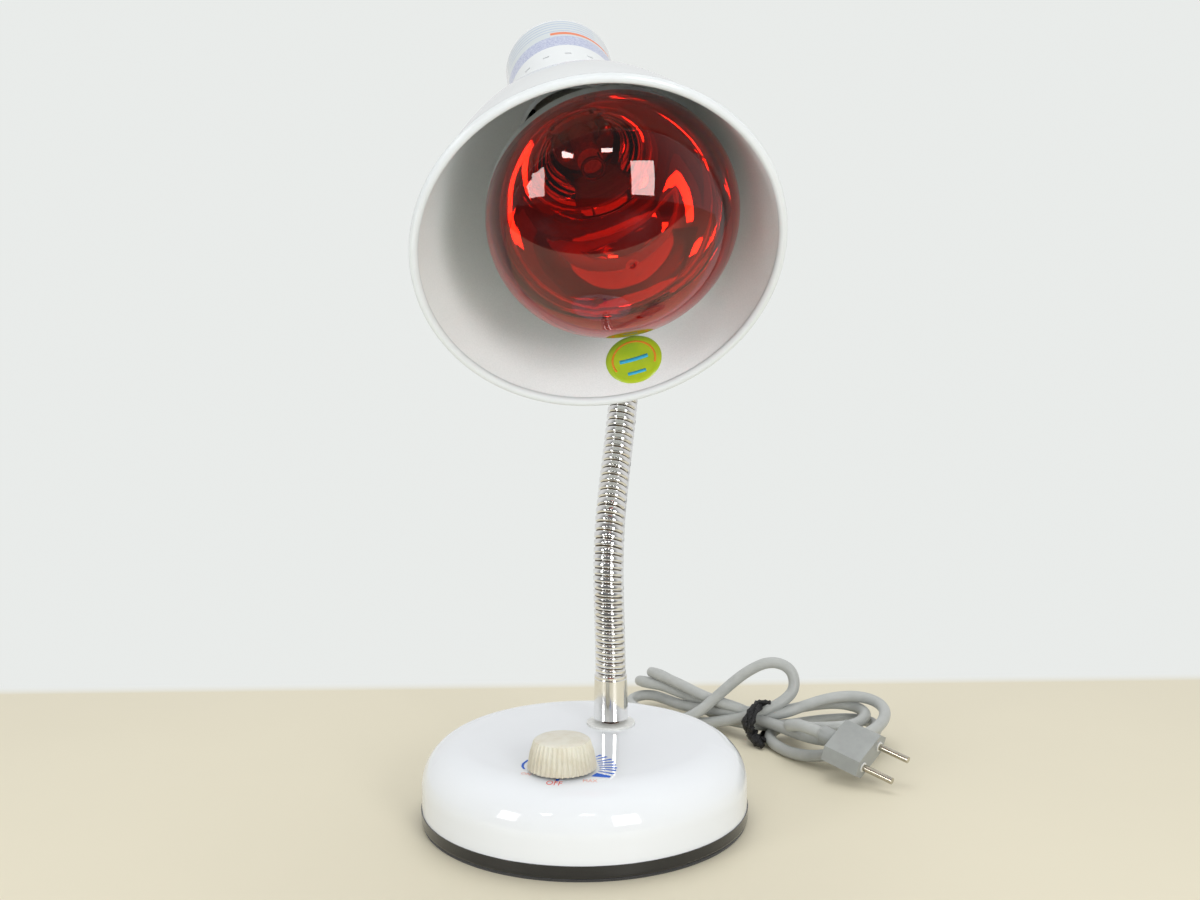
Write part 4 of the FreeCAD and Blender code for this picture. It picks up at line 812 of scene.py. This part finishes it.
def add_sticker():
    """A plain round green sticker with a ring and two bars, on the inside of the bell."""
    green = Paint("sticker_green", (0.42, 0.60, 0.02), Roughness=0.3, Coat_Weight=0.4)
    green.put("Base Color", green.mix(green.span(green.noise(60, 3), 0.3, 0.7), (0.36, 0.56, 0.02),
                                      (0.52, 0.66, 0.02)))
    green.bump(green.noise(500, 3), 0.00003, 0.3)
    orange = print_paint("sticker_orange", (0.85, 0.28, 0.03))
    cyan = print_paint("sticker_cyan", (0.05, 0.45, 0.72))
    middle_angle, middle_depth = math.radians(71.1), 24.9 * MM

    def on_wall(across, along, lift):
        """A place on the wall: across round it and along its length, both in metres."""
        angle = middle_angle + across / STICKER_WALL
        inner = Vector((0, 0, middle_depth + along))
        out = Vector((math.cos(angle), math.sin(angle), 0))
        way = HEAD_ROTATION @ out
        hit, normal, _, _ = SHADE.ray_cast(HEAD @ (inner + out * WITHIN_BELL), way)
        return hit - way * lift

    def disc(name, paint, radius, lift, rings=6, count=48):
        outline = [(radius * math.cos(2 * math.pi * i / count),
                    radius * math.sin(2 * math.pi * i / count)) for i in range(count)]
        verts = [on_wall(0, 0, lift)]
        for ring in range(1, rings + 1):
            verts += [on_wall(x * ring / rings, y * ring / rings, lift) for x, y in outline]
        piece = mesh_piece(name, verts, disc_faces(rings, count), [paint])
        film(piece, 0.06, 0)
        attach(piece, "head")

    def strip(name, paint, inner, outer, lift, steps=40):
        verts, faces = [], []
        for i in range(steps + 1):
            for x, y in (inner(i / steps), outer(i / steps)):
                verts.append(on_wall(x, y, lift))
        for i in range(steps):
            a = 2 * i
            faces.append((a, a + 1, a + 3, a + 2))
        piece = mesh_piece(name, verts, faces, [paint])
        film(piece, 0.04, 0)
        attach(piece, "head")

    disc("sticker", green, 15.6 * MM, 0.08 * MM)

    def arc(radius, low, high):
        def at(share):
            a = math.radians(low + (high - low) * share)
            return radius * MM * math.cos(a), radius * MM * math.sin(a)
        return at
    strip("sticker_ring", orange, arc(11.3, -28, 208), arc(12.5, -28, 208), 0.14 * MM)

    def line(x_from, x_to, y, slope):
        return lambda share: ((x_from + (x_to - x_from) * share) * MM,
                              (y + slope * (share - 0.5)) * MM)
    strip("sticker_bar", cyan, line(-8, 8, -1.0, 0), line(-8, 8, 1.4, 0), 0.14 * MM, 8)
    strip("sticker_bar_low", cyan, line(-5, 5, -9.6, 0), line(-5, 5, -7.6, 0), 0.14 * MM, 8)


add_sticker()


# =============================== cord's tie ======================================================
def add_tie():
    """A black twist tie: crumpled film wound round the hank, knotted on top, its tails below."""
    black = Paint("tie_black", (0.008, 0.008, 0.009), Roughness=0.32)
    black.put("Roughness", black.span(black.noise(500, 4), 0.35, 0.7, 0.2, 0.55))
    black.bump(black.noise(700, 5, 0.7), 0.0006, 0.9)
    shake = random.Random(5)
    along = Vector((0.80, -0.47, 0)).normalized()
    across = Vector((along.y, -along.x, 0))
    verts, faces = [], []

    def crumpled_tube(middles, thicks, reference, sides=10):
        first, last = len(verts), len(middles) - 1
        for number, (middle, thick) in enumerate(zip(middles, thicks)):
            way = (middles[min(number + 1, last)] - middles[max(number - 1, 0)]).normalized()
            side = (reference - way * reference.dot(way)).normalized()
            top = way.cross(side)
            for step in range(sides):
                a = 2 * math.pi * step / sides
                crease = thick * MM * (1 + shake.uniform(-0.3, 0.3))
                place = middle + side * crease * math.cos(a) + top * crease * 0.75 * math.sin(a)
                place.z = max(place.z, 0.3 * MM)
                verts.append(place)
        for number in range(last):
            for step in range(sides):
                after = (step + 1) % sides
                a, b = first + number * sides + step, first + number * sides + after
                faces.append((a, b, b + sides, a + sides))
        faces.append(tuple(reversed(range(first, first + sides))))
        faces.append(tuple(range(first + last * sides, first + (last + 1) * sides)))

    centre = mm(88, 146, 13.0)
    rounds, steps = 4, 40
    middles, thicks = [], []
    for i in range(rounds * steps + 1):
        angle = 2 * math.pi * i / steps
        push = 1 + 0.05 * math.sin(3.1 * angle) + 0.04 * shake.uniform(-1, 1)
        slide = (i / (rounds * steps) - 0.5) * 6.4 + 0.8 * math.sin(1.7 * angle)
        middles.append(centre + along * slide * MM + across * (12.6 * MM * push * math.cos(angle))
                       + Z * (11.4 * MM * push * math.sin(angle)))
        thicks.append(1.7 + 0.5 * math.sin(7.3 * angle))
    crumpled_tube(middles, thicks, along)
    for ends, wide, narrow, parts in (
            (((84, 137, 7), (86, 132, 5), (91, 126.5, 2.6)), 3.9, 2.2, 9),
            (((82, 139, 9), (84, 134, 6), (87, 129, 3.2)), 3.4, 2.4, 8),
            (((87, 134, 5), (93, 131, 5), (100, 131, 4.2)), 2.4, 0.5, 9),
            (((85, 148, 24), (90, 144, 26.5), (95, 141, 27.5)), 2.2, 1.3, 7)):
        start, bend, end = (mm(*place) for place in ends)
        shares = [number / parts for number in range(parts + 1)]
        crumpled_tube([bezier(start, bend, end, t) for t in shares],
                      [wide + (narrow - wide) * t for t in shares], Z + along)
    piece = mesh_piece("twist_tie", verts, faces, [black])
    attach(piece, "base")
    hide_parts("cord_tie")
    return piece


TIE = add_tie()


CORD.data.materials.append(PVC.material)
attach(CORD, "base")
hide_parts("power_cord", "cord_hank", "plug_lead")


# =============================== floor and light =================================================
FLOOR = (0.725, 0.675, 0.525)
BACKDROP = (0.815, 0.835, 0.82)
TABLE_EDGE_WAY, TABLE_EDGE = (-0.2137, 0.9769, 0), 0.269
TABLE_FRONT = -0.33
FLOOR_RADIUS, FLOOR_RINGS, FLOOR_POINTS = 2.4, 12, 64
# Brightness of the room: for diffuse light, and as gloss and glass show its front and its back.
ROOM_SOFT, ROOM_FRONT, ROOM_BACK = 0.68, 0.17, 0.75
BOX_DISTANCE = 1.15             # from the bulb to the lights in front of it


def add_stage():
    paint = Paint("floor", FLOOR, Roughness=0.55)
    # The cream table top ends behind the lamp, along a line across the view, and pale paper begins.
    beyond = paint.add("ShaderNodeVectorMath", operation="DOT_PRODUCT")
    paint.links.new(paint.place(), beyond.inputs[0])
    beyond.inputs[1].default_value = TABLE_EDGE_WAY
    edge = paint.span(beyond.outputs["Value"], TABLE_EDGE - 0.012, TABLE_EDGE + 0.012)
    paper = paint.mix(paint.span(paint.noise(7, 4), 0.3, 0.7),
                      tuple(c * 0.985 for c in FLOOR), FLOOR)
    rays = paint.add("ShaderNodeLightPath")
    # In front of the lamp, out of the camera's view, a pale card throws light up into the bell;
    # gloss and glass show a dim room there instead.
    _, y, _ = paint.split(paint.place())
    ended = paint.span(y, TABLE_FRONT, TABLE_FRONT - 0.01)
    dim = paint.maths("MAXIMUM", rays.outputs["Is Glossy Ray"], rays.outputs["Is Transmission Ray"])
    paper = paint.mix(paint.maths("MULTIPLY", ended, dim), paper, (0.07, 0.07, 0.075))
    card = paint.maths("MULTIPLY", ended, rays.outputs["Is Diffuse Ray"])
    paper = paint.mix(card, paper, (0.86, 0.88, 0.90))
    paint.put("Base Color", paint.mix(edge, paper, BACKDROP))
    glow = paint.add("ShaderNodeEmission")
    glow.inputs["Color"].default_value = (*BACKDROP, 1)
    seen = paint.maths("MAXIMUM", rays.outputs["Is Camera Ray"], dim)
    blend = paint.add("ShaderNodeMixShader")
    out = paint.nodes["Material Output"]
    paint.links.new(paint.maths("MULTIPLY", edge, seen), blend.inputs["Fac"])
    paint.links.new(paint.shader.outputs["BSDF"], blend.inputs[1])
    paint.links.new(glow.outputs["Emission"], blend.inputs[2])
    paint.links.new(blend.outputs["Shader"], out.inputs["Surface"])
    verts = [Vector((0, 0, 0))]
    for ring in range(1, FLOOR_RINGS + 1):
        radius = FLOOR_RADIUS * (ring / FLOOR_RINGS) ** 1.5
        for i in range(FLOOR_POINTS):
            a = 2 * math.pi * i / FLOOR_POINTS
            verts.append(Vector((math.cos(a), math.sin(a), 0)) * radius)
    mesh = bpy.data.meshes.new("floor")
    mesh.from_pydata([tuple(v) for v in verts], [], disc_faces(FLOOR_RINGS, FLOOR_POINTS))
    mesh.materials.append(paint.material)
    floor = bpy.data.objects.new("floor", mesh)
    bpy.context.scene.collection.objects.link(floor)


def add_light(name, place, target, size, power, size_y=None, glossy=True):
    data = bpy.data.lights.new(name, "AREA")
    data.energy = power
    data.shape = "RECTANGLE"
    data.size, data.size_y = size, size_y or size
    lamp = bpy.data.objects.new(name, data)
    lamp.location = place
    lamp.visible_glossy = glossy
    lamp.rotation_mode = "QUATERNION"
    lamp.rotation_quaternion = (Vector(target) - Vector(place)).to_track_quat("-Z", "Y")
    bpy.context.scene.collection.objects.link(lamp)


def add_world():
    world = bpy.data.worlds.new("studio")
    bpy.context.scene.world = world
    world.use_nodes = True
    nodes, links = world.node_tree.nodes, world.node_tree.links
    nodes.clear()
    out = nodes.new("ShaderNodeOutputWorld")
    rays = nodes.new("ShaderNodeLightPath")
    soft, seen = nodes.new("ShaderNodeBackground"), nodes.new("ShaderNodeBackground")
    soft.inputs["Color"].default_value = (1, 1, 1, 1)
    seen.inputs["Color"].default_value = (*BACKDROP, 1)
    # The room in front of the lamp is dim: gloss and glass show it, diffuse light stays even.
    way = nodes.new("ShaderNodeTexCoord")
    parts = nodes.new("ShaderNodeSeparateXYZ")
    links.new(way.outputs["Generated"], parts.inputs[0])
    front = nodes.new("ShaderNodeMapRange")
    front.interpolation_type = "SMOOTHSTEP"
    for key, value in (("From Min", -0.75), ("From Max", 0.1), ("To Min", ROOM_FRONT),
                       ("To Max", ROOM_BACK)):
        front.inputs[key].default_value = value
    links.new(parts.outputs["Y"], front.inputs["Value"])
    level = nodes.new("ShaderNodeMix")
    level.inputs[2].default_value = ROOM_SOFT
    glossy = nodes.new("ShaderNodeMath")
    glossy.operation = "MAXIMUM"
    links.new(rays.outputs["Is Glossy Ray"], glossy.inputs[0])
    links.new(rays.outputs["Is Transmission Ray"], glossy.inputs[1])
    links.new(glossy.outputs["Value"], level.inputs[0])
    links.new(front.outputs["Result"], level.inputs[3])
    links.new(level.outputs[0], soft.inputs["Strength"])
    blend = nodes.new("ShaderNodeMixShader")
    links.new(rays.outputs["Is Camera Ray"], blend.inputs["Fac"])
    links.new(soft.outputs["Background"], blend.inputs[1])
    links.new(seen.outputs["Background"], blend.inputs[2])
    links.new(blend.outputs["Shader"], out.inputs["Surface"])


def add_lights():
    """Two soft boxes in front, seen in the bulb, two small ceiling panels and a wide top light."""
    bulb = mm(20, -32, 335)
    for name, azimuth, elevation, wide, high, power in (
            ("softbox_right", 39.5, 7, 0.36, 0.50, 5.4), ("softbox_left", -42, 5, 0.27, 0.37, 2.5),
            ("panel_left", -18, 23, 0.15, 0.06, 0.5), ("panel_right", 12.6, 27, 0.16, 0.06, 0.5)):
        turn, lift = math.radians(azimuth), math.radians(elevation)
        way = Vector((math.sin(turn) * math.cos(lift), -math.cos(turn) * math.cos(lift),
                      math.sin(lift)))
        add_light(name, bulb + way * BOX_DISTANCE, bulb, wide, power, high)
    # The wide top light softens the shadows, and gloss doesn't show it.
    add_light("top", (0.0, 0.5, 1.7), (0, 0, 0.1), 1.3, 9, glossy=False)


add_stage()
add_world()
add_lights()
bpy.context.scene.view_settings.view_transform = "Standard"
